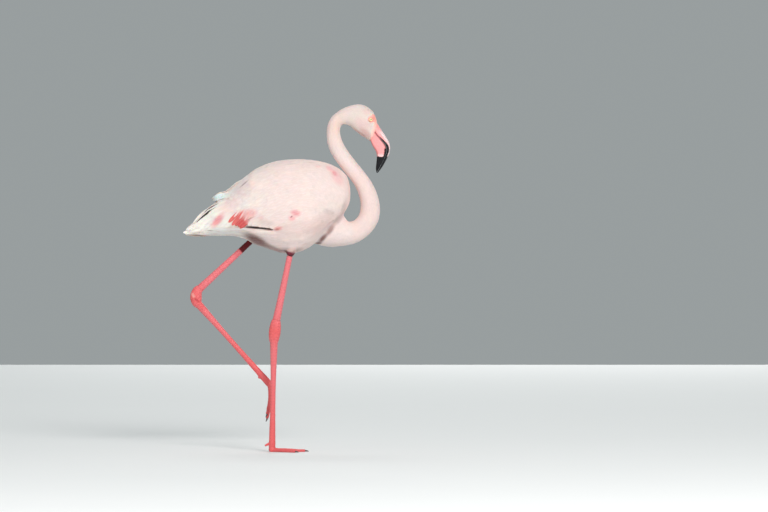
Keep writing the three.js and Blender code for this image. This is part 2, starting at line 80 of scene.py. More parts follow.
WHITE = tone(250, 232, 221)
BLUSH = tone(244, 211, 204)
NECK_BLUSH = tone(246, 208, 200)
CREAM = tone(236, 208, 197)
PEACH = tone(240, 198, 182)
PINK = tone(247, 168, 168)
ROSE = tone(240, 140, 146)
# CHIN_PINK is the chin's own dark pink, and also the colour of painted shade along the throat and under the
# bill's lower half.
CHIN_PINK = tone(205, 130, 128)
CORAL = tone(238, 104, 100)
DEEP_CORAL = tone(222, 88, 86)
CRIMSON = tone(150, 28, 44)
# DUSK, DUSK_BROWN and STREAK_BROWN: greys and browns of painted shade on the plumage, and of the dark lines
# along the back.
DUSK = tone(150, 122, 118)
DUSK_BROWN = tone(122, 86, 82)
STREAK_BROWN = tone(110, 70, 66)
BARE_PINK = tone(240, 158, 150)
PUPIL_BLACK = tone(30, 26, 30) * 0.4
LEG_PINK = tone(226, 122, 128)
LEG_CORAL = tone(222, 92, 90)
# LEG_DARK darkens the scales' seams, and is the painted shadow of the belly on the legs' tops.
LEG_DARK = tone(96, 0, 14)
# Next: the dark red where the legs leave the plumage, the skin's colour with the belly's painted shadow.
SHADED_MAROON = tone(112, 26, 48)
BILL_PINK = tone(243, 160, 160)
BILL_PALE = tone(243, 214, 214)
BILL_BLACK = tone(10, 10, 16)
HORN = tone(52, 40, 42)
IRIS_YELLOW = tone(248, 234, 178)
QUILL_BLACK = tone(26, 20, 22)
QUILL_BROWN = tone(84, 62, 64)
# Next: white tinted cool, a painted reflection on the loose feathers' tips.
COOL_REFLECTION_WHITE = tone(228, 234, 229)
ROSY = tone(238, 188, 184)
# Next: a darker pink, the plumage's pinker underside with painted shade in it.
SHADED_PINK = tone(220, 176, 170)
SALMON = tone(240, 150, 138)
FACE_PINK = tone(246, 194, 182)
LID_PINK = tone(240, 190, 174)
EYE_WHITE = LID_PINK * 0.6
FLOOR_PALE = tone(236, 240, 240)
STUDIO_PALE = tone(188, 195, 196)

# ---------------------------------------------------------------- small tools


def unit(vectors):
    """The vectors at length one."""
    length = np.linalg.norm(vectors, axis=-1, keepdims=True)
    return vectors / np.maximum(length, 1e-9)


def away_from(places, middle):
    """How far each place is from one in the middle, or from its own."""
    return np.linalg.norm(places - middle, axis=1)


def off_line(places, start, end):
    """How far each place is from the line between two others."""
    line = end - start
    run = np.clip((places - start) @ line / (line @ line), 0, 1)
    return np.linalg.norm(places - start - run[..., None] * line, axis=-1)


def upright(x, z):
    """Places or directions in the bird's own upright plane."""
    return np.stack([x, np.zeros_like(x), z], axis=1)


def smoothstep(low, high, value):
    """0 below low, 1 above high and a smooth rise between them."""
    share = np.clip((value - low) / (high - low), 0, 1)
    return share * share * (3 - 2 * share)


def bump(value, width):
    """1 where value is zero, falling off smoothly over the width."""
    return np.exp(-((value / width) ** 2))


def through(values, places):
    """A smooth curve through values that stand at 0, 1, 2 ..., read at the places."""
    knots = np.asarray(values, float)
    padded = np.vstack([2 * knots[0] - knots[1], knots, 2 * knots[-1] - knots[-2]])
    first = np.clip(np.floor(places).astype(int), 0, len(knots) - 2)
    t = (np.asarray(places) - first)[:, None]
    before, start, end, after = (padded[first + k] for k in range(4))
    square = (2 * before - 5 * start + 4 * end - after) * t**2
    cube = (3 * start - before - 3 * end + after) * t**3
    return 0.5 * (2 * start + (end - before) * t + square + cube)


def new_object(name, data):
    """An object in the scene, of a mesh, a lamp or a camera."""
    obj = bpy.data.objects.new(name, data)
    bpy.context.scene.collection.objects.link(obj)
    return obj


def read(items, key, width, kind=np.float32):
    """One property of all the corners, edges or faces of a mesh, as rows of numbers."""
    values = np.empty(len(items) * width, kind)
    items.foreach_get(key, values)
    return values.reshape(-1, width)


def corners_of(mesh):
    """The places of a mesh's corners."""
    return read(mesh.vertices, "co", 3).astype(float)


def set_corners(mesh, places):
    """Moves a mesh's corners."""
    mesh.vertices.foreach_set("co", places.astype(np.float32).ravel())
    mesh.update()


def normals_of(mesh):
    """The smooth normals of a mesh's corners."""
    return read(mesh.vertices, "normal", 3).astype(float)


def edges_of(mesh):
    """The corner pairs of a mesh's edges."""
    return read(mesh.edges, "vertices", 2, np.int32)


def relaxed(values, edges, rounds, pull=0.5, push=0.0):
    """Values at corners evened out along the edges. A push after each pull keeps a form's volume."""
    values = values.copy()
    neighbours = np.bincount(edges.ravel(), minlength=len(values))[:, None]
    for amount in [pull, -push] * rounds:
        if amount == 0:
            continue
        total = np.empty_like(values)
        for k in range(values.shape[1]):
            total[:, k] = np.bincount(edges[:, 0], values[edges[:, 1], k], len(values))
            total[:, k] += np.bincount(edges[:, 1], values[edges[:, 0], k], len(values))
        values += amount * (total / neighbours - values)
    return values


def smoothed(places, edges, rounds):
    """The corners of a form, evened out without a loss of volume."""
    return relaxed(places, edges, rounds, pull=0.5, push=0.52)


def evened(depths, edges, rounds):
    """One value for each corner, evened out along the edges."""
    return relaxed(depths[:, None], edges, rounds)[:, 0]


def paint(mesh, colours):
    """Keeps a colour for each corner of the mesh, for its material to start from."""
    layer = mesh.color_attributes.new("Tint", "FLOAT_COLOR", "POINT")
    flat = np.ones((len(colours), 4), np.float32)
    flat[:, :3] = colours
    layer.data.foreach_set("color", flat.ravel())


def shade_smooth(mesh):
    """Smooth shading on the whole mesh."""
    mesh.polygons.foreach_set("use_smooth", np.ones(len(mesh.polygons), bool))
    mesh.update()


def mixed(first, second, share):
    """Colours, places or sizes between two, by a share for each corner."""
    share = np.asarray(share)[..., None]
    return first * (1 - share) + second * share


def layered(colour, *layers):
    """A colour under layers of others, each with its share for each corner."""
    for other, share in layers:
        colour = mixed(colour, other, share)
    return colour


def cloud(places, scale):
    """A soft random value between -1 and 1 at each place."""
    return np.array([noise.noise(Vector(place)) for place in (places / scale).tolist()])


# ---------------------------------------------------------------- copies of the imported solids

BODY_NODES = ["trunk", "wing_left", "wing_right", "tail", "thigh_left", "thigh_right"]
NECK_NODES = ["neck_base", "neck_bend", "neck_rise", "neck_middle", "neck_arch"]
FLESH = [*BODY_NODES, *NECK_NODES, "head"]
UPPER_FLESH = [*NECK_NODES, "head"]
WELD = 0.02 * MM  # corners nearer than this are one


def copies(nodes, swell):
    """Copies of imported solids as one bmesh, swollen a little so that neighbours overlap."""
    whole = bmesh.new()
    for node in nodes:
        whole.from_mesh(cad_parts[node].data)
    bmesh.ops.remove_doubles(whole, verts=whole.verts, dist=WELD)
    whole.normal_update()
    for corner in whole.verts:
        corner.co += corner.normal * swell
    return whole


def remeshed(whole, name, voxel):
    """The bmesh as a new object of even, closed faces."""
    mesh = bpy.data.meshes.new(name)
    whole.to_mesh(mesh)
    whole.free()
    obj = new_object(name, mesh)
    voxels = obj.modifiers.new("even_faces", "REMESH")
    voxels.mode = "VOXEL"
    voxels.voxel_size = voxel
    graph = bpy.context.evaluated_depsgraph_get()
    obj.data = bpy.data.meshes.new_from_object(obj.evaluated_get(graph))
    obj.modifiers.clear()
    bpy.data.meshes.remove(mesh)
    obj.data.name = name
    return obj


def outward_mesh(name, corners, faces):
    """A closed, smooth mesh whose faces all look outwards."""
    mesh = bpy.data.meshes.new(name)
    mesh.from_pydata([tuple(corner) for corner in corners], [], faces)
    form = bmesh.new()
    form.from_mesh(mesh)
    bmesh.ops.recalc_face_normals(form, faces=form.faces)
    form.to_mesh(mesh)
    form.free()
    shade_smooth(mesh)
    return mesh


class Owner:
    """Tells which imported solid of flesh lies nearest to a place."""

    def __init__(self, nodes):
        corners, faces, self.owners = [], [], []
        for number, node in enumerate(nodes):
            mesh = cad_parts[node].data
            first = len(corners)
            corners += corners_of(mesh).tolist()
            faces += [tuple(first + k for k in face.vertices) for face in mesh.polygons]
            self.owners += [number] * len(mesh.polygons)
        self.tree = BVHTree.FromPolygons(corners, faces)

    def of(self, places):
        """The number of the nearest solid, for each place."""
        found = [self.tree.find_nearest(place)[2] for place in places.tolist()]
        return np.array([self.owners[face] for face in found])


# ---------------------------------------------------------------- places on the bird

EYE_RADIUS = (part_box("eye_left")[1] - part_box("eye_left")[0]).x / 2
EYE_LEFT = np.array((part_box("eye_left")[0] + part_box("eye_left")[1]) / 2)
SIDES = {1: "left", -1: "right"}  # by the sign of y
EYES = {side: EYE_LEFT * np.array([1, side, 1]) for side in SIDES}
LID_OPENING = 3.9 * MM  # radius of the hole in the lids
LID_REACH = 8.2 * MM  # radius of the bare ring round an eye

# The middle line of the neck from the breast to the nape: x and z in mm.
NECK_PATH = np.array([
    (60, 534), (100, 529), (141, 525), (180.5, 539.5), (199, 577), (193, 620), (173.5, 657.5),
    (148, 689), (123, 725), (111, 762), (114.5, 787), (128.9, 801.8), (150, 809),
]) * MM
NECK_STEPS = 160
NECK_LINE = through(NECK_PATH, np.linspace(0, len(NECK_PATH) - 1, NECK_STEPS))
NECK_AHEAD = unit(np.gradient(NECK_LINE, axis=0))


def neck_place(places):
    """The number of the neck line's nearest step, from 0 at the breast to NECK_STEPS - 1 at the nape."""
    flat = places[:, [0, 2]]
    gaps = np.linalg.norm(flat[:, None, :] - NECK_LINE[None, :, :], axis=2)
    return gaps.argmin(axis=1)


# Where each leg leaves the plumage, its ankle and the root of its toes: x, y and z in mm.
LEGS = {
    "right": {"leaves": (8.4, -34, 477), "ankle": (-30.5, -20, 291), "toes": (-36, 0, 6.2)},
    "left": {"leaves": (-84, 36, 508.5), "ankle": (-230.5, 40, 372.5), "toes": (-41, 44, 159)},
}

# ---------------------------------------------------------------- the bill's own coordinates

# Sections of the bill from its base to its tip, in mm: x and z of the ridge, x and z of the underside,
# half width; and the share of the depth at which the gape lies.
BILL = np.array([
    (217.9, 786, 201.6, 743.5, 12.6, 0.42),
    (226.8, 771.4, 204.7, 735.6, 12.4, 0.37),
    (235.9, 757.7, 209, 728.2, 12.8, 0.31),
    (243.8, 744, 213.2, 721.4, 13.2, 0.26),
    (247, 732, 215.2, 712.8, 12.8, 0.24),
    (245.5, 718.8, 215.2, 703.2, 11.4, 0.26),
    (239, 703.2, 214.2, 692.4, 9, 0.32),
    (229, 685.2, 213.2, 680.9, 6, 0.4),
    (219, 671.8, 214.4, 672.6, 2.6, 0.5),
])
BILL_BASE = np.array([209.7, 0, 764.7]) * MM  # middle of the bill's root
BILL_BEND = np.array([224.0, 0, 738.0]) * MM  # a place inside the bill, ahead of its root
BILL_ROOT = 4.5 * MM  # how far the bill reaches back inside the skin
BILL_GAP = 0.35 * MM  # half the gap between its halves
NOSTRIL = np.array([from_photo(381.2, 134), from_photo(384.4, 138.2)])  # the two ends of its slit
BILL_EDGE_TOP = BILL[0, :2] * MM  # x and z where the bill's ridge leaves the forehead
BILL_EDGE_LOW = BILL[0, 2:4] * MM  # x and z where its underside leaves the chin
LORE = np.array(from_photo(373.4, 119))  # middle of the bare patch in front of the eye
LORE_SIZE = np.array([3.4, 5.6]) * PIXEL  # half its width and height

# ---------------------------------------------------------------- plumage: how it lies

# Where in the side view, which way the feathers point there in degrees below straight back, how long one
# is, how wide each half of it, and how far apart they stand. All lengths are in mm.
LIE = np.array([
    # x, z, slope, length, half width, spacing
    (148, 580, -76, 14, 3.6, 2.8),
    (156, 606, -86, 15, 4.2, 3.6),
    (152, 634, -66, 19, 5.2, 4.4),
    (118, 612, -24, 23, 6.8, 5.2),
    (118, 572, -18, 18, 5.0, 3.8),
    (124, 545, 4, 14, 3.4, 3.0),
    (88, 510, 24, 17, 4.2, 4.6),
    (122, 664, -32, 22, 6.4, 5.0),
    (84, 698, 0, 27, 8.0, 6.2),
    (0, 714, 3, 34, 9.5, 8.6),
    (-80, 692, 18, 42, 10, 9.4),
    (30, 625, 16, 30, 9, 8.0),
    (-80, 610, 28, 40, 10, 9.2),
    (-170, 592, 42, 40, 8.5, 8.6),
    (40, 545, 16, 32, 8.5, 7.8),
    (20, 505, 6, 30, 8, 7.6),
    (10, 480, 0, 26, 7.5, 7.2),
    (-90, 506, -4, 28, 8, 7.6),
    (-190, 548, 24, 38, 8, 8.2),
    (-190, 520, 2, 34, 7.5, 8.0),
])
LIE_REACH = 32 * MM  # how far one place's word carries
FARAWAY_WEIGHT = 1e-6  # what it still counts anywhere
COAT_SPACING = 0.8  # of the spacings in the table: how closely the body's feathers are set

# Length, half width and spacing of the smaller feathers.
HEAD_FEATHER = np.array([5.0, 1.3, 1.25]) * MM
NECK_FEATHER_LOW = np.array([15, 3.1, 2.5]) * MM
NECK_FEATHER_HIGH = np.array([9, 2.0, 1.75]) * MM
THIGH_FEATHER = np.array([15, 3.4, 2.8]) * MM

NECK_ROOT_HEIGHT = (562 * MM, 546 * MM)  # between these heights the neck's lie fades in on the breast
NECK_ROOT_WIDTH = (60 * MM, 42 * MM)  # the same, away from the neck's middle line
NECK_ROOT_START = (62 * MM, 90 * MM)  # the same, along x
HEAD_ASIDE = 0.4  # how much the head's feathers turn outwards
HEAD_END = (45 * MM, 85 * MM)  # between these distances from the bill the neck's lie takes over
THIGH_AHEAD = (-0.5, 0.0, -0.86)

COAT_DEPTH = {"head": 1.2, "neck": 2.4, "trunk": 5, "wing": 5, "tail": 3.4, "thigh": 3.6}  # mm


def depth_of(node):
    """How deep the plumage is over a solid of flesh."""
    return COAT_DEPTH[node.split("_")[0]] * MM


FLESH_DEPTHS = np.array([depth_of(node) for node in FLESH])


def lie_on_body(places):
    """The way the body's feathers point at each place, and their length, half width and spacing."""
    flat = places[:, [0, 2]]
    gap = np.linalg.norm(flat[:, None, :] - LIE[None, :, :2] * MM, axis=2)
    weight = np.exp(-((gap / LIE_REACH) ** 2)) + FARAWAY_WEIGHT
    weight /= weight.sum(axis=1, keepdims=True)
    slope = np.radians(LIE[:, 2])
    ahead = unit(weight @ upright(-np.cos(slope), -np.sin(slope)))
    sizes = weight @ (LIE[:, 3:] * [1, 1, COAT_SPACING]) * MM
    neck_ahead, neck_sizes = lie_on_neck(places)
    share = neck_root_share(places)
    return unit(mixed(ahead, neck_ahead, share)), mixed(sizes, neck_sizes, share)


def neck_root_share(places):
    """1 on the breast where the neck leaves it, falling to 0 away from there."""
    middle = NECK_LINE[neck_place(places)]
    away = away_from(places, upright(middle[:, 0], middle[:, 1]))
    low = smoothstep(*NECK_ROOT_HEIGHT, places[:, 2])
    return low * smoothstep(*NECK_ROOT_WIDTH, away) * smoothstep(*NECK_ROOT_START, places[:, 0])


def lie_on_neck(places):
    """The same on the neck: towards the body, smaller towards the head."""
    nearest = neck_place(places)
    ahead = -NECK_AHEAD[nearest]
    sizes = mixed(NECK_FEATHER_LOW, NECK_FEATHER_HIGH, nearest / NECK_STEPS)
    return upright(ahead[:, 0], ahead[:, 1]), sizes


def lie_on_head(places):
    """The same on the head: away from the bill, turning into the neck's lie behind the ears."""
    ahead = unit(places - BILL_BASE)
    ahead[:, 1] *= HEAD_ASIDE
    neck_ahead, _ = lie_on_neck(places)
    share = smoothstep(*HEAD_END, away_from(places, BILL_BASE))
    return unit(mixed(ahead, neck_ahead, share)), mixed(HEAD_FEATHER, NECK_FEATHER_HIGH, share)


def lie_on_thigh(places):
    """The same on the thighs: down the leg."""
    return np.tile(THIGH_AHEAD, (len(places), 1)), np.tile(THIGH_FEATHER, (len(places), 1))


# ---------------------------------------------------------------- plumage: its markings

MARK_EDGE = 1.8  # how suddenly a mark ends
LEG_END_RUN = (-8 * MM, -2 * MM)  # between these places along a leg its dark root fades in: dark red skin with the belly's painted shadow
LEG_END_WIDTH = (19 * MM, 11 * MM)  # the same, away from the leg's middle line
WHITE_REAR = (-0.02, -0.17)  # x between which the body turns whiter
NECK_X = (0.150, 0.162)  # x between which the neck's colour fades in, above the height that follows
NECK_Z = (0.50, 0.52)
UPPER_NECK_Z = (0.72, 0.745)  # z between which all has the neck's colour
CREAM_REACH = (0.10, 0.06)  # distances from the bill between which the face turns cream
CROWN = np.array(from_photo(366.5, 111))  # middle of the pink on the crown
CROWN_SIZE = 9 * MM
CROWN_SHARE = 0.35
# Marks seen on the photo's side, mirrored on the other: column, row, half length and half width in pixels,
# slope in degrees above the horizontal, colour, strength. Some are painted shade, as the comments over them
# say.
MARKS = {
    "shoulder_blush": (337, 177, 10, 4.6, -55, PINK, 0.5),
    "shoulder_rose": (334.6, 173.2, 3.2, 1.8, -50, ROSE, 0.72),
    "shoulder_top": (329.5, 168.5, 4, 2, -35, PINK, 0.6),
    "shoulder_far": (318.5, 166.3, 3, 1.5, 0, PINK, 0.35),
    "coral_flame": (240, 220.6, 8.6, 4.6, -10, CORAL, 0.55),
    "flame_halo": (245, 215.5, 10.5, 5.4, -6, PINK, 0.6),
    "covert_blush": (251.5, 212.5, 7, 3.8, 0, PINK, 0.72),
    "covert_patch": (261.3, 217.3, 3, 3.4, 50, ROSE, 0.28),
    "wing_spot": (296.2, 212.6, 5.0, 3.1, -15, ROSE, 0.78),
    "wing_spot_low": (292.6, 217.8, 3.6, 2.6, 0, PINK, 0.8),
    "wing_spot_dark": (292.1, 216.3, 1, 0.7, 20, CRIMSON, 0.85),
    "lower_spot": (278.5, 228.3, 4.2, 2.2, 10, CORAL, 0.68),
    "lower_spot_dark": (277.8, 229, 2, 0.7, 0, CRIMSON, 0.5),
    "tertial_oval": (218, 220.4, 8.6, 3.5, 48, ROSE, 0.95),
    "tertial_blush": (230, 206, 13, 8, 40, PINK, 0.36),
    "flank_white": (264.5, 229.9, 8.5, 1.7, -4, WHITE, 0.8),
    "flank_shade": (267, 222.5, 9, 3.4, -8, DUSK, 0.26),
    "belly_spot": (261.8, 241.8, 2.7, 1.7, 0, CRIMSON, 0.5),
    # The next five: painted shade under the belly and the tail, darkest along their lower edges.
    "belly_rear_shadow": (256, 239.6, 13, 4.9, -26, DUSK_BROWN, 1.0),
    "belly_edge_shade": (270.5, 248.2, 18, 3.6, -24, DUSK_BROWN, 0.72),
    "belly_under_shade": (289, 250.4, 14, 3.4, 3, DUSK_BROWN, 0.42),
    "tail_edge_shade": (198, 235.5, 10, 1.0, -1, DUSK_BROWN, 0.75),
    "under_tail_shade": (232, 235.5, 26, 1.3, -2, DUSK, 0.2),
    # The next five: painted shadow in the crease between the breast and the neck's root.
    "seam_shadow_dark": (318.2, 243.2, 3.4, 1.3, 6, STREAK_BROWN, 0.95),
    "seam_shadow_low": (323, 238, 6.4, 2.3, 47, DUSK_BROWN, 1.0),
    "seam_shadow_middle": (330.4, 229.6, 6.4, 2.6, 56, DUSK_BROWN, 0.85),
    "seam_shadow_high": (338, 219.8, 7, 3, 50, DUSK, 0.52),
    "seam_shadow_top": (343.6, 208.5, 8.5, 2.3, 76, DUSK, 0.3),
    "breast_shade": (329, 211.5, 6, 3, -20, DUSK, 0.2),
    "back_streak": (244.2, 184, 5.4, 0.55, 41, STREAK_BROWN, 0.8),
    "back_notch": (266.3, 167, 1.8, 0.6, 30, DUSK_BROWN, 0.22),
    "back_line": (291, 164, 6, 0.5, 5, DUSK, 0.2),
    "back_line_fore": (311, 162.4, 4, 0.5, -5, DUSK, 0.2),
    "back_blush": (244, 190, 14, 8, 40, ROSY, 0.4),
    # The next two: darker pink low on the breast and side, partly the plumage's pinker underside and partly
    # painted shade where the light falls off towards the belly.
    "breast_blush_and_shade": (324, 224, 15, 9, 35, SHADED_PINK, 0.42),
    "side_blush_and_shade": (298, 229, 24, 8, 4, SHADED_PINK, 0.3),
    "arch_blush": (336, 127, 11, 5.5, 68, PEACH, 0.7),
    # Next: pink painted shade on the cheek.
    "cheek": (363, 124, 9, 7, -30, PINK, 0.32),
    "chin": (366, 133.5, 7, 3.4, -35, CHIN_PINK, 0.48),
    # Next: painted shade along the throat's lower edge, in the chin's dark pink.
    "throat_shade": (360, 133.6, 11, 1.6, -37, CHIN_PINK, 0.55),
}


def mark_shares(places, marks):
    """Each mark's colour and how strongly it shows at each place."""
    for column, row, long, wide, slope, colour, strength in marks.values():
        x, z = from_photo(column, row)
        turn = math.radians(slope)
        across, up = places[:, 0] - x, places[:, 2] - z
        along = (across * math.cos(turn) + up * math.sin(turn)) / (long * PIXEL)
        aside = (up * math.cos(turn) - across * math.sin(turn)) / (wide * PIXEL)
        yield colour, strength * np.exp(-((along**2 + aside**2) ** MARK_EDGE))


def leg_root_shade(places):
    """1 where a leg comes out of the plumage, falling to 0 above. The plumage there is painted dark red: the
    leg's skin colour with the belly's painted shadow.
    """
    share = np.zeros(len(places))
    for leg in LEGS.values():
        start, ankle = (np.array(leg[key]) * MM for key in ("leaves", "ankle"))
        ahead = unit(ankle - start)
        run = (places - start) @ ahead
        beside = np.linalg.norm(places - start - run[:, None] * ahead, axis=1)
        share = np.maximum(share, smoothstep(*LEG_END_RUN, run) * smoothstep(*LEG_END_WIDTH, beside))
    return share


def plumage_colour(places):
    """The plumage's colour at each place: pale blush, whiter behind, cream on the head, with its marks, some
    of them painted shade, and dark red with painted shadow where the legs come out.
    """
    x, z = places[:, 0], places[:, 2]
    on_neck = np.maximum(smoothstep(*NECK_X, x) * smoothstep(*NECK_Z, z), smoothstep(*UPPER_NECK_Z, z))
    crown = bump(np.hypot(x - CROWN[0], z - CROWN[1]), CROWN_SIZE)
    return layered(
        BLUSH,
        (WHITE, smoothstep(*WHITE_REAR, x)),
        (NECK_BLUSH, on_neck),
        (CREAM, smoothstep(*CREAM_REACH, away_from(places, BILL_BASE))),
        (PINK, CROWN_SHARE * crown),
        *mark_shares(places, MARKS),
        (SHADED_MAROON, leg_root_shade(places)),
    )


# ---------------------------------------------------------------- skin

SKIN_VOXEL = 3.0 * MM  # size of its faces
SWELL = 0.35 * MM  # how far the copies of solids swell to overlap
FORM_ROUNDS = 5  # how far a form is evened out before the coat's depth is taken off it
DEPTH_ROUNDS = 14  # how far the depths of neighbouring solids are evened out
THIN_ROUNDS = 3  # how far the depths are evened out once more at thin edges
THIN_SHARE = 0.3  # the plumage takes at most this share of a thin edge
FACE_REACH = (30 * MM, 14 * MM)  # distances from the bill between which the coat gets thin
FACE_COAT = 0.75  # how much of its depth is gone there
RAY_START = 0.2 * MM  # how far under a corner its ray starts
RAY_REACH = 0.1
FINE_FROM = (12 * MM, -5 * MM)  # x and z, from the head's lowest ones, over which its faces are split
FINE_EDGE = 1.2 * MM  # the length of edges that are split no more
FINE_SPLITS = 2
SEAM_ROUNDS = 2  # how far the skin is evened out before and after its faces are split
FINE_ROUNDS = 3
SOCKET_DEPTH = 5 * MM
SOCKET_FLOOR = 5.2 * MM  # radius of the socket's bottom
SOCKET_EVEN = (1, 0.4, 0.4)  # rounds, pull and push that take the edge off the socket


def finer_head(mesh):
    """Splits the faces of the head into smaller ones, for lids and the edge of the bill."""
    form = bmesh.new()
    form.from_mesh(mesh)
    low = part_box("head")[0]
    x, z = low.x + FINE_FROM[0], low.z + FINE_FROM[1]
    for _ in range(FINE_SPLITS):
        edges = [
            edge for edge in form.edges
            if all(corner.co.x > x and corner.co.z > z for corner in edge.verts)
            and edge.calc_length() > FINE_EDGE
        ]
        bmesh.ops.subdivide_edges(form, edges=edges, cuts=1, use_grid_fill=True, smooth=0)
    form.to_mesh(mesh)
    form.free()


def thickness(mesh, places, normals):
    """How thick the form is under each corner."""
    tree = BVHTree.FromPolygons(corners_of(mesh).tolist(), [tuple(face.vertices) for face in mesh.polygons])
    starts = places - normals * RAY_START
    measured = []
    for start, normal in zip(starts.tolist(), (-normals).tolist()):
        distance = tree.ray_cast(start, normal, RAY_REACH)[3]
        measured.append(RAY_REACH if distance is None else distance)
    return np.array(measured)


def under_plumage(nodes, name):
    """A form round some solids of flesh, taken in by the depth of the plumage."""
    form = remeshed(copies(nodes, SWELL), name, SKIN_VOXEL)
    mesh = form.data
    edges = edges_of(mesh)
    places = smoothed(corners_of(mesh), edges, FORM_ROUNDS)
    set_corners(mesh, places)
    normals = normals_of(mesh)
    depths = evened(FLESH_DEPTHS[OWNER.of(places)], edges, DEPTH_ROUNDS)
    depths *= 1 - FACE_COAT * smoothstep(*FACE_REACH, away_from(places, BILL_BASE))
    depths = np.minimum(depths, THIN_SHARE * thickness(mesh, places, normals))
    depths = evened(depths, edges, THIN_ROUNDS)
    set_corners(mesh, places - normals * depths[:, None])
    return form


def make_skin():
    """One skin for all the flesh, with sockets for the eyes. Neck and body are taken in apart from each
    other, so that the neck stays clear of the breast where it bends back past it."""
    whole = bmesh.new()
    for nodes in (BODY_NODES + ["neck_base"], UPPER_FLESH):
        form = under_plumage(nodes, "form")
        whole.from_mesh(form.data)
        bpy.data.objects.remove(form)
    skin = remeshed(whole, "skin", SKIN_VOXEL)
    mesh = skin.data
    set_corners(mesh, smoothed(corners_of(mesh), edges_of(mesh), SEAM_ROUNDS))
    finer_head(mesh)
    edges = edges_of(mesh)
    places = smoothed(corners_of(mesh), edges, FINE_ROUNDS)
    for side, eye in EYES.items():
        away = np.linalg.norm((places - eye)[:, [0, 2]], axis=1)
        inwards = np.where(places[:, 1] * side > 0, smoothstep(LID_REACH, SOCKET_FLOOR, away), 0)
        places[:, 1] -= side * inwards * SOCKET_DEPTH
    set_corners(mesh, relaxed(places, edges, *SOCKET_EVEN))
    shade_smooth(mesh)
    return skin


UNWRAP_ANGLE = math.radians(70)
UNWRAP_MARGIN = 0.002


def unwrap(obj):
    """Unwraps the skin by its own shape."""
    bpy.context.view_layer.objects.active = obj
    obj.select_set(True)
    bpy.ops.object.mode_set(mode="EDIT")
    bpy.ops.mesh.select_all(action="SELECT")
    bpy.ops.uv.smart_project(angle_limit=UNWRAP_ANGLE, island_margin=UNWRAP_MARGIN)
    bpy.ops.object.mode_set(mode="OBJECT")
    obj.data.uv_layers.active.name = "OFBake"


CROWDING = 7  # places tried for each one that there is room for
GROUND_ROUNDS = 6  # how far the skin's normals are evened out under the feathers
SMALLEST_SQUARE = 1e-18  # keeps faces without area from being divided by


class Ground:
    """The skin as the surface that feathers are laid on."""

    def __init__(self, mesh):
        mesh.calc_loop_triangles()
        self.triangles = read(mesh.loop_triangles, "vertices", 3, np.int32)
        loops = read(mesh.loop_triangles, "loops", 3, np.int32)
        self.spots = read(mesh.uv_layers["OFBake"].data, "uv", 2)[loops]
        edges = edges_of(mesh)
        self.corners = corners_of(mesh)
        self.normals = relaxed(normals_of(mesh), edges, GROUND_ROUNDS)
        self.tree = BVHTree.FromPolygons(self.corners.tolist(), self.triangles.tolist())
        a, b, c = self.corners_in(slice(None))
        self.areas = np.linalg.norm(np.cross(b - a, c - a), axis=1) / 2
        self.owners = OWNER.of((a + b + c) / 3)
        depths = FLESH_DEPTHS[self.owners]
        corners = self.triangles.ravel()
        total = np.bincount(corners, np.repeat(depths, 3), len(self.corners))
        met = np.bincount(corners, minlength=len(self.corners))
        self.depths = evened(total / np.maximum(met, 1), edges, DEPTH_ROUNDS)[:, None]

    def corners_in(self, faces):
        """The first, second and third corners of faces."""
        return [self.corners[self.triangles[faces, k]] for k in range(3)]

    def shares(self, faces, places):
        """How much each corner of its face counts at each place."""
        a, b, c = self.corners_in(faces)
        ab, ac, ap = b - a, c - a, places - a
        d00, d01, d11 = (ab * ab).sum(1), (ab * ac).sum(1), (ac * ac).sum(1)
        d20, d21 = (ap * ab).sum(1), (ap * ac).sum(1)
        bottom = np.maximum(d00 * d11 - d01 * d01, SMALLEST_SQUARE)
        at_b = np.clip((d11 * d20 - d01 * d21) / bottom, 0, 1)
        at_c = np.clip((d00 * d21 - d01 * d20) / bottom, 0, 1)
        return np.stack([1 - at_b - at_c, at_b, at_c], axis=1)

    def read(self, faces, places, values):
        """Values that are given for each corner of the faces, at the places in them."""
        return (values * self.shares(faces, places)[:, :, None]).sum(axis=1)

    def depths_at(self, faces, places):
        """How deep the plumage is over places on the skin."""
        return self.read(faces, places, self.depths[self.triangles[faces]])[:, 0]

    def spots_at(self, faces, places):
        """Where the places lie on the skin's unwrap."""
        return self.read(faces, places, self.spots[faces])

    def nearest(self, targets):
        """The nearest places on the skin, its smooth normals there and the faces."""
        found = [self.tree.find_nearest(target) for target in targets.tolist()]
        places = np.array([hit[0] for hit in found])
        faces = np.array([hit[2] for hit in found])
        return places, unit(self.read(faces, places, self.normals[self.triangles[faces]])), faces

    def scatter(self, nodes, spacing):
        """Random places, evenly over the skin of some solids, with the faces that they lie in."""
        areas = np.where(np.isin(self.owners, [FLESH.index(node) for node in nodes]), self.areas, 0)
        count = int(CROWDING * areas.sum() / spacing**2)
        faces = RANDOM.choice(len(areas), count, p=areas / areas.sum())
        r, s = RANDOM.random(count), RANDOM.random(count)
        r = np.sqrt(r)
        shares = np.stack([1 - r, r * (1 - s), r * s], axis=1)
        places = (self.corners[self.triangles[faces]] * shares[:, :, None]).sum(axis=1)
        return places, faces


def thinned(places, spacings):
    """The numbers of the places that stay, when none may be nearer to another than its spacing."""
    cell = spacings.max()
    kept, grid = [], {}
    keys = np.floor(places / cell).astype(int).tolist()
    around = [(i, j, k) for i in (-1, 0, 1) for j in (-1, 0, 1) for k in (-1, 0, 1)]
    for number, (key, (x, y, z), gap) in enumerate(zip(keys, places.tolist(), (spacings**2).tolist())):
        crowded = any(
            (x - other[0]) ** 2 + (y - other[1]) ** 2 + (z - other[2]) ** 2 < gap
            for i, j, k in around
            for other in grid.get((key[0] + i, key[1] + j, key[2] + k), ())
        )
        if not crowded:
            kept.append(number)
            grid.setdefault(tuple(key), []).append((x, y, z))
    return np.array(kept, int)


# ---------------------------------------------------------------- feathers as meshes

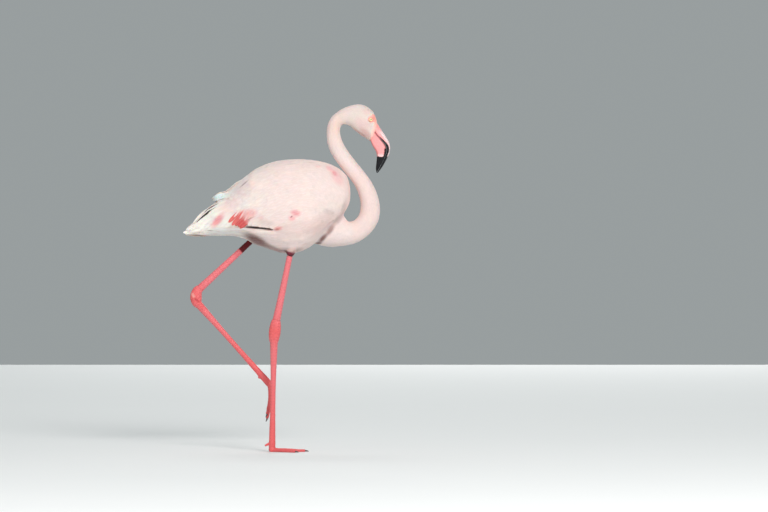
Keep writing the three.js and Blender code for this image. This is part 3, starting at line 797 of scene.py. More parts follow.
PATCH = 0.003  # how large one feather is on the OFBake map
TIP_CROWDING = 1.5  # how much closer together the rows of corners stand near a feather's tip
WIDE_AT = 0.42  # how far along a feather it is at its widest
ROOT_WIDTH = 0.02  # how much of that widening its root has
WIDENING = 0.7  # power by which it widens up to there
LIE_SCATTER = 0.05  # how much feathers turn from the lie at random
STEEPEST_TURN = math.cos(math.radians(38))  # where the skin turns more from row to row, a feather leaves it
FARTHEST_STEP = 0.5  # the same where the skin is further off than this share of a step
STIFFNESS = 0.75  # how much a feather keeps its heading from row to row, against the lie
SETTLE_FROM = 0.62  # how far along a feather its tip starts to settle
RAGGED_FROM, RAGGED_FULL = 0.45, 0.95  # where along a feather its edge gets ragged
SHAFT_WIDTH = 0.2  # of the half width
FEATHER_CONTRAST = 0.018  # how much lighter or darker one feather is than the others


class Vane:
    """The mesh of one feather as numbers: a root, rows of corners across it and a tip."""

    def __init__(self, rows, columns):
        def at(row, column):
            """The number of a corner, where a row's first one follows its last."""
            return 1 + row * columns + column % columns

        self.corners = rows * columns + 2
        tip = rows * columns + 1
        faces = [(0, at(0, k), at(0, k + 1)) for k in range(columns)]
        for row in range(rows - 1):
            for k in range(columns):
                faces.append((at(row, k), at(row + 1, k), at(row + 1, k + 1), at(row, k + 1)))
        faces += [(tip, at(rows - 1, k + 1), at(rows - 1, k)) for k in range(columns)]
        # The last face of each ring joins both edges: it is the underside.
        self.under = np.array([k % columns == columns - 1 for k, face in enumerate(faces) for _ in face])
        self.sizes = np.array([len(face) for face in faces])
        self.loops = np.array([corner for face in faces for corner in face])
        self.shares = share = 1 - (1 - np.linspace(0, 1, rows + 2)) ** TIP_CROWDING
        across = np.tile(np.linspace(-1, 1, columns), rows)
        self.across = np.concatenate([[0], across, [0]])
        self.along = np.concatenate([[0], np.repeat(share[1:-1], columns), [1]])
        self.row_of = np.concatenate([[0], np.repeat(np.arange(1, rows + 1), columns), [rows + 1]])


def vane_outline(along, blunt):
    """A feather's half width along its length, as a share: narrow at the root and round at the tip."""
    rise = np.minimum(1, (along / WIDE_AT + ROOT_WIDTH) ** WIDENING)
    fall = np.sqrt(np.clip(1 - np.clip((along - blunt) / (1 - blunt), 0, 1) ** 2, 0, 1))
    return rise * fall


def on_surface(headings, ups):
    """Headings turned into the surface that has these normals."""
    return headings - ups * (headings * ups).sum(1, keepdims=True)


def lay(ground, lie, roots, lengths, vane):
    """The middle line of each feather, laid over the skin from its root, with the skin's normals and how
    much of the feather lies on the skin. Where the skin turns away, the rest of it runs straight on."""
    line, ups = [roots], [ground.nearest(roots)[1]]
    heading = on_surface(lie(roots)[0], ups[0])
    heading = unit(heading + RANDOM.normal(0, LIE_SCATTER, heading.shape))
    laid = np.ones(len(roots), bool)
    reach = np.zeros(len(roots))
    for share in np.diff(vane.shares):
        step = lengths[:, None] * share
        target = line[-1] + heading * step
        spot, up, _ = ground.nearest(target)
        same_side = (up * ups[-1]).sum(1) > STEEPEST_TURN
        near = away_from(spot, target) < FARTHEST_STEP * step[:, 0]
        laid &= same_side & near
        reach += share * laid
        spot = np.where(laid[:, None], spot, target)
        up = np.where(laid[:, None], up, ups[-1])
        wish = STIFFNESS * heading + (1 - STIFFNESS) * lie(spot)[0]
        heading = np.where(laid[:, None], unit(on_surface(wish, up)), heading)
        line.append(spot)
        ups.append(up)
    return np.stack(line, axis=1), np.stack(ups, axis=1), reach


def shaped(vane, line, ups, widths, lifts, look):
    """The corners of feathers and their upward directions, from middle lines, half widths and heights."""
    along, across = vane.along, vane.across
    climb = along ** look["rise"] * (1 - look["settle"] * smoothstep(SETTLE_FROM, 1.0, along))
    rise = lifts[:, :1] + (lifts[:, 1:2] - lifts[:, :1]) * climb[None, :]
    heading = unit(np.gradient(line, axis=1))
    aside = unit(np.cross(ups, heading))
    up, side, ahead = (values[:, vane.row_of] for values in (ups, aside, heading))
    half = widths[:, None] * vane_outline(along, look["blunt"])[None, :]
    ragged = RANDOM.normal(0, 1, (len(line), len(along))) * look["ragged"] * widths[:, None]
    ragged *= smoothstep(RAGGED_FROM, RAGGED_FULL, along)[None, :] * np.abs(across)[None, :]
    height = rise - half * across**2 * look["cup"]
    height += look["shaft"] * bump(across, SHAFT_WIDTH) * (1 - along)
    places = line[:, vane.row_of] + side * (half * across)[:, :, None]
    places += up * height[:, :, None] + ahead * ragged[:, :, None]
    tilt = side * (2 * look["cup"] * look["relief"] * across)[None, :, None]
    return places, unit(up + tilt)


def feather_mesh(name, vane, places, soft, spots, colours):
    """One mesh of many feathers. Their upper side is shaded as softly as plumage is: by the skin's normals,
    tilted a little by the vane's own form. The underside takes the opposite ones."""
    count = len(places)
    mesh = bpy.data.meshes.new(name)
    starts = np.arange(count) * vane.corners
    loops = (vane.loops[None, :] + starts[:, None]).ravel()
    sizes = np.tile(vane.sizes, count)
    mesh.vertices.add(count * vane.corners)
    mesh.vertices.foreach_set("co", places.astype(np.float32).ravel())
    mesh.loops.add(len(loops))
    mesh.loops.foreach_set("vertex_index", loops.astype(np.int32))
    mesh.polygons.add(len(sizes))
    mesh.polygons.foreach_set("loop_start", (np.cumsum(sizes) - sizes).astype(np.int32))
    mesh.polygons.foreach_set("loop_total", sizes.astype(np.int32))
    mesh.update(calc_edges=True)
    own = np.stack([vane.across * 0.5 + 0.5, vane.along], axis=1)
    spot = spots[:, None, :] + (own - 0.5)[None, :, :] * PATCH
    for layer, values in (("OFBake", spot), ("Vane", np.tile(own, (count, 1, 1)))):
        uv = mesh.uv_layers.new(name=layer)
        uv.data.foreach_set("uv", values.reshape(-1, 2)[loops].astype(np.float32).ravel())
    paint(mesh, colours.reshape(-1, 3))
    shade_smooth(mesh)
    normals = soft.reshape(-1, 3)[loops]
    normals[np.tile(vane.under, count)] *= -1
    mesh.normals_split_custom_set(normals.tolist())
    return new_object(name, mesh)


def plumage_on(places):
    """The plumage's colour at every corner of some feathers, each feather a little lighter or darker."""
    colours = plumage_colour(places.reshape(-1, 3)).reshape(places.shape)
    return colours * RANDOM.normal(1, FEATHER_CONTRAST, (len(places), 1, 1))


# ---------------------------------------------------------------- the plumage, tract by tract


BARE_BEHIND_BILL = (8.5, 5.5)  # mm: width of the bare skin at the bill's ridge, and how much less below
BARE_CHIN = (0.97, 4)  # how far down the edge the chin starts, and how much wider the skin is there, in mm
BARE_FOREHEAD = (0.03, 8)  # the same at the top, on the forehead
LID_EDGE = 0.4 * MM  # how far the feathers reach in over the bare ring round an eye
BARE_LORE = 0.55  # the share of the bare patch's middle from which no feathers grow
LORE_FALL = (1.5, 0.9)  # power and width by which the patch ends


def behind_bill(places):
    """How far each place is behind the edge of the bill, and how far down that edge, from 0 to 1."""
    edge = BILL_EDGE_LOW - BILL_EDGE_TOP
    length = np.linalg.norm(edge)
    down = edge / length
    back = np.array([down[1], -down[0]])
    flat = places[:, [0, 2]] - BILL_EDGE_TOP
    return flat @ back, np.clip(flat @ down / length, 0, 1)


def lore_share(places):
    """1 on the bare patch in front of each eye, falling to 0 round it."""
    gap = (places[:, [0, 2]] - LORE) / LORE_SIZE
    power, width = LORE_FALL
    return bump(np.linalg.norm(gap, axis=1) ** power, width)


def bare_face(places):
    """True where the face is bare: round the eyes, in front of them and along the edge of the bill."""
    behind, down = behind_bill(places)
    width, less = BARE_BEHIND_BILL
    chin = BARE_CHIN[1] * (down > BARE_CHIN[0])
    forehead = BARE_FOREHEAD[1] * (down < BARE_FOREHEAD[0])
    bare = behind < (width - less * down + chin + forehead) * MM
    for eye in EYES.values():
        bare |= away_from(places, eye) < LID_REACH - LID_EDGE
    return bare | (lore_share(places) > BARE_LORE)


def vane_look(**settings):
    """How a feather is formed: powers and shares by which it rises, settles and gets blunt and ragged,
    the depth of its cup, the height of its shaft and how much its shading shows all that."""
    return {"shaft": 0.0, "blunt": 0.5, **settings}


TRACTS = {
    # name: nodes, the lie of the feathers, rows and columns of one, its look
    "body": (BODY_NODES[:4], lie_on_body, (7, 7),
             vane_look(rise=0.45, settle=0.19, ragged=0.1, cup=0.1, shaft=0.1 * MM, relief=0.6)),
    "thighs": (BODY_NODES[4:], lie_on_thigh, (4, 5),
               vane_look(rise=0.7, settle=0.3, ragged=0.12, cup=0.15, relief=0.5)),
    "neck": (NECK_NODES, lie_on_neck, (4, 5),
             vane_look(rise=0.6, settle=0.35, ragged=0.12, cup=0.24, relief=0.25)),
    "head": (["head"], lie_on_head, (3, 3),
             vane_look(rise=0.6, settle=0.35, blunt=0.45, ragged=0.1, cup=0.24, relief=0.2)),
}
LAID_SHARE = {"body": 0.7, "thighs": 0.4, "neck": 0.95, "head": 0.7}  # less laid feathers are left out
BREAST_FROM = 0.055  # x in front of which the body's coat is the breast's piece
ROOT_SINK = 0.6 * MM  # how deep a feather's root is in the skin
JUNCTION = (110 * MM, 572 * MM)  # x and z that bound the neck's root, where every feather stays
LENGTHS = (0.88, 1.12)  # of the usual length, from feather to feather
WIDTHS = (0.9, 1.1)
LIFTS = (0.92, 1.0)  # how high the tips lie in the coat's depth


def pieces_of(tract, roots):
    """How a tract is divided into pieces: their names, and which of the feathers are in each."""
    if tract == "body":
        breast, left = roots[:, 0] > BREAST_FROM, roots[:, 1] > 0
        return {
            "coat_breast": breast,
            "coat_side_left": ~breast & left,
            "coat_side_right": ~breast & ~left,
        }
    if tract == "neck":
        low = neck_place(roots) < NECK_STEPS / 2
        return {"coat_neck_low": low, "coat_neck_high": ~low}
    return {f"coat_{tract}": np.ones(len(roots), bool)}


def grow_tract(ground, name):
    """The feathers of one tract, as its pieces."""
    nodes, lie, (rows, columns), look = TRACTS[name]
    vane = Vane(rows, columns)
    sparse = 1
    middle = np.mean([np.mean([corner[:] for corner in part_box(node)], axis=0) for node in nodes], axis=0)
    usual = lie(middle[None, :])[1][0, 2] * sparse
    places, faces = ground.scatter(nodes, usual)
    if name == "head":
        feathered = ~bare_face(places)
        places, faces = places[feathered], faces[feathered]
    _, sizes = lie(places)
    kept = thinned(places, sizes[:, 2] * sparse)
    places, faces, sizes = places[kept], faces[kept], sizes[kept]
    count = len(places)
    lengths = sizes[:, 0] * RANDOM.uniform(*LENGTHS, count)
    widths = sizes[:, 1] * RANDOM.uniform(*WIDTHS, count)
    line, ups, reach = lay(ground, lie, places, lengths, vane)
    clear = reach > LAID_SHARE[name]
    clear |= (places[:, 0] > JUNCTION[0]) & (places[:, 2] < JUNCTION[1])
    if name in ("body", "thighs"):
        clear &= kept_clear(line, ups)
    depths = ground.depths_at(faces, places) * low_coat(line[:, -2])
    lifts = np.stack([np.full(count, -ROOT_SINK), depths * RANDOM.uniform(*LIFTS, count)], axis=1)
    spots = ground.spots_at(faces, places)
    made = []
    for piece, test in pieces_of(name, places).items():
        mine = test & clear
        corners, soft = shaped(vane, line[mine], ups[mine], widths[mine], lifts[mine], look)
        made.append(feather_mesh(piece, vane, corners, soft, spots[mine], plumage_on(corners)))
    return made


# ---------------------------------------------------------------- the long feathers, one by one

QUILL_VANE = Vane(13, 7)
QUILL_LOOK = vane_look(rise=0.3, settle=0.12, blunt=0.72, ragged=0.03, cup=0.08, shaft=0.2 * MM, relief=1.0)
QUILLS = (
    # Root and tip of the first and the last feather of a group, as the photo's columns and rows; how many;
    # half width and upward bow, in pixels; height over the coat, in mm; colour, or None for the plumage's.
    ((222.0, 200.8), (191.8, 227.0), (222.0, 200.8), (191.8, 227.0), 1, 1.4, 3.2, -0.5, None),
    ((228.5, 200.4), (198.0, 218.8), (228.5, 200.4), (198.0, 218.8), 1, 0.9, 1.9, 1.2, QUILL_BROWN),
    ((220.0, 204.6), (196.4, 224.2), (220.0, 204.6), (196.4, 224.2), 1, 1.3, 0.7, 1.0, QUILL_BLACK),
    ((219.6, 203.6), (193.4, 227.6), (219.6, 203.6), (193.4, 227.6), 1, 0.8, 2.0, 0.6, None),
    ((232.0, 198.8), (207.0, 211.2), (240.0, 206.0), (213.0, 222.0), 4, 2.6, 0.8, 0.5, None),
    ((214.0, 216.6), (188.0, 230.4), (222.0, 226.0), (189.0, 232.0), 4, 2.1, 0.2, 0.5, None),
    ((222.8, 207.4), (195.2, 228.4), (245.0, 212.0), (222.0, 230.0), 7, 2.6, 0.6, 0.8, None),
    ((246.0, 207.5), (230.0, 222.4), (249.0, 211.5), (235.0, 224.4), 3, 1.8, 0.4, 1.4, CORAL),
    ((250.0, 212.6), (236.4, 225.2), (254.5, 218.0), (241.4, 226.4), 3, 1.8, 0.4, 1.5, DEEP_CORAL),
    ((246.5, 206.5), (238.6, 218.4), (246.5, 206.5), (238.6, 218.4), 1, 1.0, -0.3, 2.3, CORAL),
    ((243.6, 205.5), (235.6, 217.0), (251.5, 208.5), (245.4, 219.6), 3, 0.9, -0.3, 2.1, None),
    ((210.0, 229.2), (184.4, 232.2), (208.0, 232.4), (186.0, 234.4), 3, 2.0, 0.2, 0.7, None),
    ((262.0, 228.4), (214.0, 227.8), (242.0, 235.0), (188.6, 234.4), 8, 2.2, 0.0, 0.9, None),
    ((276.0, 229.5), (246.4, 226.0), (276.0, 229.5), (246.4, 226.0), 1, 0.9, 0.8, 1.5, QUILL_BLACK),
    ((284.0, 232.8), (263.0, 231.4), (274.0, 231.6), (246.0, 230.0), 4, 2.2, 0.3, 0.8, None),
    ((262.0, 213.9), (249.4, 223.4), (291.0, 221.6), (276.5, 227.6), 9, 2.4, 0.3, 1.1, None),
)
TIP_TURN = (-0.185, -0.225)  # x between which the long feathers turn their flat side outwards
TIP_TURN_SIZE = 2.2  # how strongly they do, against the skin's own normal
JITTER = 0.5 * PIXEL  # how far feathers of a group stand from their even places
ROOT_JITTER = 0.4  # the share of it that a feather's root takes
LAYER = 0.12  # mm by which every other feather of a group lies higher
COLOUR_FROM = (0.1, 0.6)  # how far along a long feather its own colour fades in
EVEN_ROUNDS = 3  # how far depths and normals are evened out along a long feather
RAY_FROM = 0.3  # how far aside of the middle the rays start that look for the skin
EDGE_DEPTH = 0.02  # how far aside a long feather is that doesn't meet the skin at all
QUILL_LINES_CLEAR = (
    # Lines in the photo that the body's other feathers keep clear of: two ends and a distance, in pixels.
    ((270.0, 228.2), (247.0, 225.8), 3.2),
    ((246.0, 220.5), (234.0, 221.0), 3.2),
    ((226.0, 200.4), (196.0, 222.6), 3.4),
    ((227.0, 195.6), (214.0, 198.4), 2.4),
)
SHORT_FEATHER_END = -0.226  # x behind which only long feathers reach on the sides
RUMP_FEATHER_END = -0.242  # the same between the wings
LOOSE_FEATHERS = (
    ((234.0, 193.8), (214.6, 197.0)),
    ((234.0, 195.4), (213.0, 198.6)),
    ((233.0, 197.2), (214.4, 200.2)),
)
LOOSE_HALF_WIDTH = 1.5 * PIXEL
LOOSE_BOW = 0.5  # pixels
LOOSE_HEIGHT = 1.2 * MM
LOOSE_LAYER = 0.4  # mm by which each of them lies higher than the last
SIDE_NORMAL = 0.5  # a feather faces sideways where its normal's y is at least this
CREASE = np.array([139, 576]) * MM  # x and z of the crease between the breast and the top of the neck's root
CREASE_SIZE = 36 * MM
CREASE_COAT = 0.3  # the share of the coat's depth in it
LOW_COAT = 0.55  # how deep the short feathers lie under the long ones, as a share of the coat's depth
LOW_COAT_FROM = (-0.078, -0.096)  # x between which the coat gets that low


def low_coat(places):
    """The share of the coat's depth that short feathers reach: less where long ones lie over them, and
    in the crease over the neck's root."""
    under_long = smoothstep(*LOW_COAT_FROM, places[:, 0])
    in_crease = smoothstep(CREASE_SIZE, 0, away_from(places[:, [0, 2]], CREASE))
    return (1 - (1 - LOW_COAT) * under_long) * (1 - (1 - CREASE_COAT) * in_crease)


def kept_clear(line, ups):
    """True for feathers that keep clear of the gaps between the long feathers and of the tail's tip. Those
    that face up or down lie between the wings, where there are no gaps."""
    between = np.abs(ups[:, 0, 1]) < SIDE_NORMAL
    flat = line[:, :, [0, 2]]
    clear = flat[:, :, 0].min(axis=1) > np.where(between, RUMP_FEATHER_END, SHORT_FEATHER_END)
    for first, last, reach in QUILL_LINES_CLEAR:
        gap = off_line(flat, np.array(from_photo(*first)), np.array(from_photo(*last)))
        clear &= between | (gap > reach * PIXEL).all(axis=1)
    return clear


def cast_from(ground, side, places):
    """Where places in the side view meet the skin, seen from one side, and the normals there. A place past
    the edge of the skin takes the depth of the one before it."""
    found = places.copy()
    for feather, line in enumerate(places):
        depth = EDGE_DEPTH * side
        for station, (x, _, z) in enumerate(line):
            spot = ground.tree.ray_cast(Vector((x, side * RAY_FROM, z)), Vector((0, -side, 0)))[0]
            if spot and spot.y * side > 0:
                depth = spot.y
            found[feather, station, 1] = depth
    found[:, :, 1] = even_along(found[:, :, 1])
    ups = ground.nearest(found.reshape(-1, 3))[1].reshape(found.shape)
    return found, unit(even_along(ups))


def even_along(values):
    """Values along each feather's line, evened out."""
    for _ in range(EVEN_ROUNDS):
        values[:, 1:-1] = 0.5 * values[:, 1:-1] + 0.25 * (values[:, :-2] + values[:, 2:])
    return values


def bowed(root, tip, bow):
    """The middle line of a long feather, from its root to its tip in the photo, bowed upwards."""
    along = QUILL_VANE.shares[:, None]
    root, tip = np.array(root), np.array(tip)
    run = unit(tip - root)
    above = np.array([run[1], -run[0]])
    above *= -np.sign(above[1])
    flat = root + (tip - root) * along + above * bow * 4 * along * (1 - along)
    return upright(*from_photo(flat[:, 0], flat[:, 1]))


def long_feathers(ground, side):
    """The long feathers of one wing and of the tail's side, each where the photo shows it."""
    lines, widths, heights, own = [], [], [], []
    shifted = ROOT_JITTER + (1 - ROOT_JITTER) * QUILL_VANE.shares[:, None]
    for root, tip, last_root, last_tip, count, width, bow, height, colour in QUILLS:
        for number in range(count):
            share = number / max(count - 1, 1)
            here = mixed(np.array(root), np.array(last_root), share)
            there = mixed(np.array(tip), np.array(last_tip), share)
            shift = RANDOM.normal(0, 1, 3) * [1, 0, 1] * JITTER * (count > 1)
            lines.append(bowed(here, there, bow) + shift * shifted)
            widths.append(width * PIXEL)
            heights.append((height + LAYER * (number % 2)) * MM)
            own.append(colour)
    line, ups = cast_from(ground, side, np.array(lines))
    at_tip = smoothstep(*TIP_TURN, line[:, :, :1])
    ups = unit(ups + at_tip * np.array([0, TIP_TURN_SIZE * side, 0]))
    return quill_piece(ground, f"quills_{SIDES[side]}", line, ups, np.array(widths), np.array(heights), own)


def quill_piece(ground, name, line, ups, widths, heights, own):
    """Long feathers as one piece, in their own colours or in the plumage's."""
    vane = QUILL_VANE
    count = len(line)
    roots, _, faces = ground.nearest(line[:, 0])
    depths = ground.depths_at(faces, roots) * low_coat(line[:, -2])
    lifts = np.stack([np.full(count, -ROOT_SINK), depths + heights], axis=1)
    corners, soft = shaped(vane, line, ups, np.broadcast_to(widths, count), lifts, QUILL_LOOK)
    colours = plumage_on(corners)
    for number, colour in enumerate(own):
        if colour is not None:
            plain = colour is QUILL_BLACK or colour is QUILL_BROWN
            share = 1.0 if plain else smoothstep(*COLOUR_FROM, vane.along)
            colours[number] = mixed(colours[number], colour, share)
    return feather_mesh(name, vane, corners, soft, ground.spots_at(faces, line[:, 0]), colours)


def loose_feathers(ground):
    """The few white feathers that stand up from the right wing's edge, their tips tinted cool by a painted
    reflection.
    """
    lines = np.array([bowed(root, tip, LOOSE_BOW) for root, tip in LOOSE_FEATHERS])
    line, ups = cast_from(ground, -1, lines)
    heights = np.arange(len(line)) * LOOSE_LAYER * MM + LOOSE_HEIGHT
    return quill_piece(ground, "loose_feathers", line, ups, LOOSE_HALF_WIDTH, heights, [COOL_REFLECTION_WHITE] * len(line))


TAIL_FEATHERS = 12
TAIL_ROOT = (-150.0, 5.0, 534.0)  # mm: x, spread to each side, z
TAIL_TIP = (-243.0, 20.0, 529.0)
TAIL_SHORTER = 17.0  # mm by which the outermost feathers are shorter
TAIL_ROUND = 1.5  # power by which they get shorter outwards
TAIL_LOWER = 3.0  # mm by which the outermost feathers are lower
TAIL_TILT = 0.25  # how far their flat sides turn outwards
TAIL_LAYERS = 1.6  # mm from the lowest feather to the highest
TAIL_HALF_WIDTH = 7.5 * MM


def tail_feathers(ground):
    """The tail's own long feathers, spread a little to both sides, the outermost ones lowest."""
    share = np.linspace(-1, 1, TAIL_FEATHERS)
    share = share[np.argsort(-np.abs(share), kind="stable")]
    along = QUILL_VANE.shares[None, :]
    tip_x = TAIL_TIP[0] + TAIL_SHORTER * np.abs(share) ** TAIL_ROUND
    x = TAIL_ROOT[0] + (tip_x[:, None] - TAIL_ROOT[0]) * along
    y = share[:, None] * (TAIL_ROOT[1] + (TAIL_TIP[1] - TAIL_ROOT[1]) * along)
    z = TAIL_ROOT[2] + (TAIL_TIP[2] - TAIL_ROOT[2]) * along - TAIL_LOWER * share[:, None] ** 2
    line = np.stack([x, y, z], axis=2) * MM
    ups = np.zeros_like(line)
    ups[:, :, 2] = 1
    ups[:, :, 1] = TAIL_TILT * share[:, None]
    heights = np.linspace(0, TAIL_LAYERS, TAIL_FEATHERS) * MM
    own = [None] * TAIL_FEATHERS
    return quill_piece(ground, "tail_quills", line, unit(ups), TAIL_HALF_WIDTH, heights, own)


# ---------------------------------------------------------------- materials


class Look:
    """A node material, built step by step: each call adds a node and gives its output."""

    def __init__(self, name):
        self.material = bpy.data.materials.new(name)
        self.material.use_nodes = True
        self.nodes = self.material.node_tree.nodes
        self.links = self.material.node_tree.links
        self.shader = next(node for node in self.nodes if node.type == "BSDF_PRINCIPLED")

    def fill(self, socket, value):
        """Links another node's output to a socket, or sets its number or colour."""
        if isinstance(value, bpy.types.NodeSocket):
            self.links.new(value, socket)
        else:
            socket.default_value = value

    def add(self, kind, inputs=(), output=0, **settings):
        """A node of any kind."""
        node = self.nodes.new(kind)
        for key, value in settings.items():
            setattr(node, key, value)
        for key, value in dict(inputs).items():
            self.fill(node.inputs[key], value)
        return node.outputs[output]

    def place(self, scale=None):
        """The object's own coordinates, scaled apart along each axis if need be."""
        spot = self.add("ShaderNodeTexCoord", output=3)
        return spot if scale is None else self.add("ShaderNodeMapping", {0: spot, 3: scale})

    def tint(self):
        """The colour painted on the mesh."""
        return self.add("ShaderNodeAttribute", attribute_name="Tint")

    def noise(self, scale, detail=3.0, where=None):
        """Soft noise in the object's coordinates."""
        inputs = {"Scale": scale, "Detail": detail, "Vector": where or self.place()}
        return self.add("ShaderNodeTexNoise", inputs)

    def cells(self, scale, **settings):
        """A pattern of cells in the object's coordinates."""
        return self.add("ShaderNodeTexVoronoi", {"Scale": scale, "Vector": self.place()}, **settings)

    def math(self, operation, first, second=0.0):
        """A sum, a product and so on of two values."""
        return self.add("ShaderNodeMath", {0: first, 1: second}, operation=operation)

    def span(self, value, low, high, to_low=0.0, to_high=1.0):
        """A value that goes from to_low to to_high while another goes from low to high."""
        return self.add("ShaderNodeMapRange", {0: value, 1: low, 2: high, 3: to_low, 4: to_high})

    def mix(self, share, first, second, blend="MIX"):
        """Two colours mixed by a share."""
        node = self.nodes.new("ShaderNodeMix")
        node.data_type = "RGBA"
        node.blend_type = blend
        for key, value in (("Factor", share), ("A", first), ("B", second)):
            socket = next(s for s in node.inputs if s.name == key and s.enabled)
            plain_colour = isinstance(value, tuple)
            self.fill(socket, (*value, 1) if plain_colour else value)
        return next(s for s in node.outputs if s.enabled)

    def stained(self, colour, stain, value, low, high, share, blend="MULTIPLY"):
        """A colour with a stain that grows to its share while a value goes from low to high."""
        return self.mix(self.span(value, low, high, 0.0, share), colour, stain, blend)

    def bump(self, height, strength, distance):
        """Relief on the surface."""
        inputs = {"Height": height, "Strength": strength, "Distance": distance}
        self.links.new(self.add("ShaderNodeBump", inputs), self.shader.inputs["Normal"])

    def finish(self, colour, **settings):
        """The material, with its base colour and the shader's other settings."""
        self.fill(self.shader.inputs["Base Color"], colour)
        for key, value in settings.items():
            self.fill(self.shader.inputs[key.replace("_", " ")], value)
        return self.material


GREY_WHITE = (0.86, 0.84, 0.83)
SHAFT_WHITE = (1.0, 0.97, 0.94)
PORE_ROSE = (0.93, 0.76, 0.72)
SCALE_RED = (0.62, 0.2, 0.22)
SCALE_ROSE = (0.95, 0.78, 0.74)
HORN_ROSE = (0.9, 0.74, 0.74)
HORN_WHITE = (0.98, 0.92, 0.92)
IRIS_RAY = (0.75, 0.6, 0.3)
FLOOR_GREY = (0.9, 0.9, 0.9)
FULL_TURN = 6.2832
BARB_SLANT = 0.55  # how much a feather's barbs slant from its shaft towards the tip
BARB_WOBBLE = 1.4
SHAFT_PALE = 0.25  # how much paler the shaft is
SHAFT_HIGH = 1.5  # how much higher than the barbs
BLOTCH_HIGH = 0.6  # how high the legs' blotches are, against their seams
STREAK_PALER = 2.6  # how much paler the claws' streaks are


def feather_look(name, barbs=46.0, depth=0.05 * MM):
    """Feathers: barbs that run out from the shaft, a paler shaft and softly uneven colour."""
    look = Look(name)
    parts = look.nodes.new("ShaderNodeSeparateXYZ")
    look.links.new(look.add("ShaderNodeUVMap", uv_map="Vane"), parts.inputs[0])
    across, along = parts.outputs[0], parts.outputs[1]
    from_shaft = look.math("ABSOLUTE", look.math("SUBTRACT", across, 0.5))
    slant = look.math("SUBTRACT", along, look.math("MULTIPLY", from_shaft, BARB_SLANT))
    wobble = look.math("MULTIPLY", look.noise(420.0, detail=2.0), BARB_WOBBLE)
    phase = look.math("ADD", look.math("MULTIPLY", slant, barbs), wobble)
    wave = look.math("SINE", look.math("MULTIPLY", phase, FULL_TURN))
    barb = look.span(wave, low=-1.0, high=1.0)
    cloudy = look.noise(38.0, detail=4.0)
    colour = look.stained(look.tint(), GREY_WHITE, cloudy, low=0.35, high=0.7, share=0.10)
    colour = look.stained(colour, GREY_WHITE, barb, low=0.0, high=1.0, share=0.16)
    shaft = look.span(from_shaft, low=0.0, high=0.05, to_low=1.0, to_high=0.0)
    colour = look.mix(look.math("MULTIPLY", shaft, SHAFT_PALE), colour, SHAFT_WHITE, "SCREEN")
    relief = look.math("ADD", barb, look.math("MULTIPLY", shaft, SHAFT_HIGH))
    look.bump(relief, strength=0.5, distance=depth)
    return look.finish(colour, Roughness=0.78, Sheen_Weight=0.12, Sheen_Roughness=0.5,
                       Specular_IOR_Level=0.25, Subsurface_Weight=0.3, Subsurface_Scale=3 * MM)


def skin_look():
    """Skin: fine pores and soft blotches over its tint."""
    look = Look("skin")
    pores = look.cells(900.0)
    blotch = look.noise(160.0, detail=4.0)
    colour = look.stained(look.tint(), PORE_ROSE, blotch, low=0.4, high=0.7, share=0.18)
    look.bump(look.math("ADD", pores, blotch), strength=0.3, distance=0.12 * MM)
    return look.finish(colour, Roughness=0.55, Subsurface_Weight=0.08, Subsurface_Scale=2 * MM)


def leg_look():
    """Leg skin: small scales between the big ones, darker in their seams."""
    look = Look("leg_skin")
    seams = look.span(look.cells(520.0, feature="DISTANCE_TO_EDGE"), low=0.0, high=0.12)
    blotch = look.noise(90.0, detail=5.0)
    seam_share = look.span(seams, low=0.0, high=1.0, to_low=0.22, to_high=0.0)
    colour = look.mix(seam_share, look.tint(), SCALE_RED, "MULTIPLY")
    colour = look.stained(colour, SCALE_ROSE, blotch, low=0.4, high=0.75, share=0.3)
    relief = look.math("ADD", seams, look.math("MULTIPLY", blotch, BLOTCH_HIGH))
    look.bump(relief, strength=0.45, distance=0.16 * MM)
    rough = look.span(blotch, low=0.3, high=0.7, to_low=0.36, to_high=0.52)
    return look.finish(colour, Roughness=rough, Specular_IOR_Level=0.25, Subsurface_Weight=0.06,
                       Subsurface_Scale=2 * MM)


def bill_look():
    """Bill: polished horn with fine growth lines and soft, rougher blotches."""
    look = Look("bill_horn")
    lines = look.noise(1.0, detail=5.0, where=look.place((260.0, 120.0, 900.0)))
    blotch = look.noise(180.0)
    colour = look.stained(look.tint(), HORN_ROSE, lines, low=0.35, high=0.7, share=0.22)
    colour = look.stained(colour, HORN_WHITE, blotch, low=0.5, high=0.8, share=0.015, blend="SCREEN")
    look.bump(look.math("ADD", lines, blotch), strength=0.25, distance=0.1 * MM)
    rough = look.span(blotch, low=0.3, high=0.7, to_low=0.26, to_high=0.42)
    return look.finish(colour, Roughness=rough, Specular_IOR_Level=0.25)


def claw_look():
    """Claws: dark horn, streaked along with a paler one."""
    look = Look("claw_horn")
    streaks = look.noise(1.0, detail=4.0, where=look.place((300.0, 1400.0, 1400.0)))
    paler = tuple(HORN * STREAK_PALER)
    colour = look.mix(look.span(streaks, low=0.3, high=0.75), tuple(HORN), paler)
    look.bump(streaks, strength=0.3, distance=0.08 * MM)
    return look.finish(colour, Roughness=0.38)


def eye_look():
    """Eye: wet, with fine rays in the iris."""
    look = Look("eye")
    rays = look.noise(1.0, detail=4.0, where=look.place((900.0, 200.0, 900.0)))
    colour = look.stained(look.tint(), IRIS_RAY, rays, low=0.35, high=0.7, share=0.4)
    return look.finish(colour, Roughness=0.12, Coat_Weight=1.0, Coat_Roughness=0.03)


def floor_look():
    """The studio's pale floor, hardly uneven."""
    look = Look("floor")
    blotch = look.noise(3.0, detail=4.0)
    colour = look.stained(tuple(FLOOR_PALE), FLOOR_GREY, blotch, low=0.3, high=0.7, share=0.05)
    return look.finish(colour, Roughness=0.8)


def wear(piece, look):
    """Gives a piece its material and the body that it rides on."""
    piece.data.materials.clear()
    piece.data.materials.append(look)
    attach(piece, "root")


# ---------------------------------------------------------------- bill

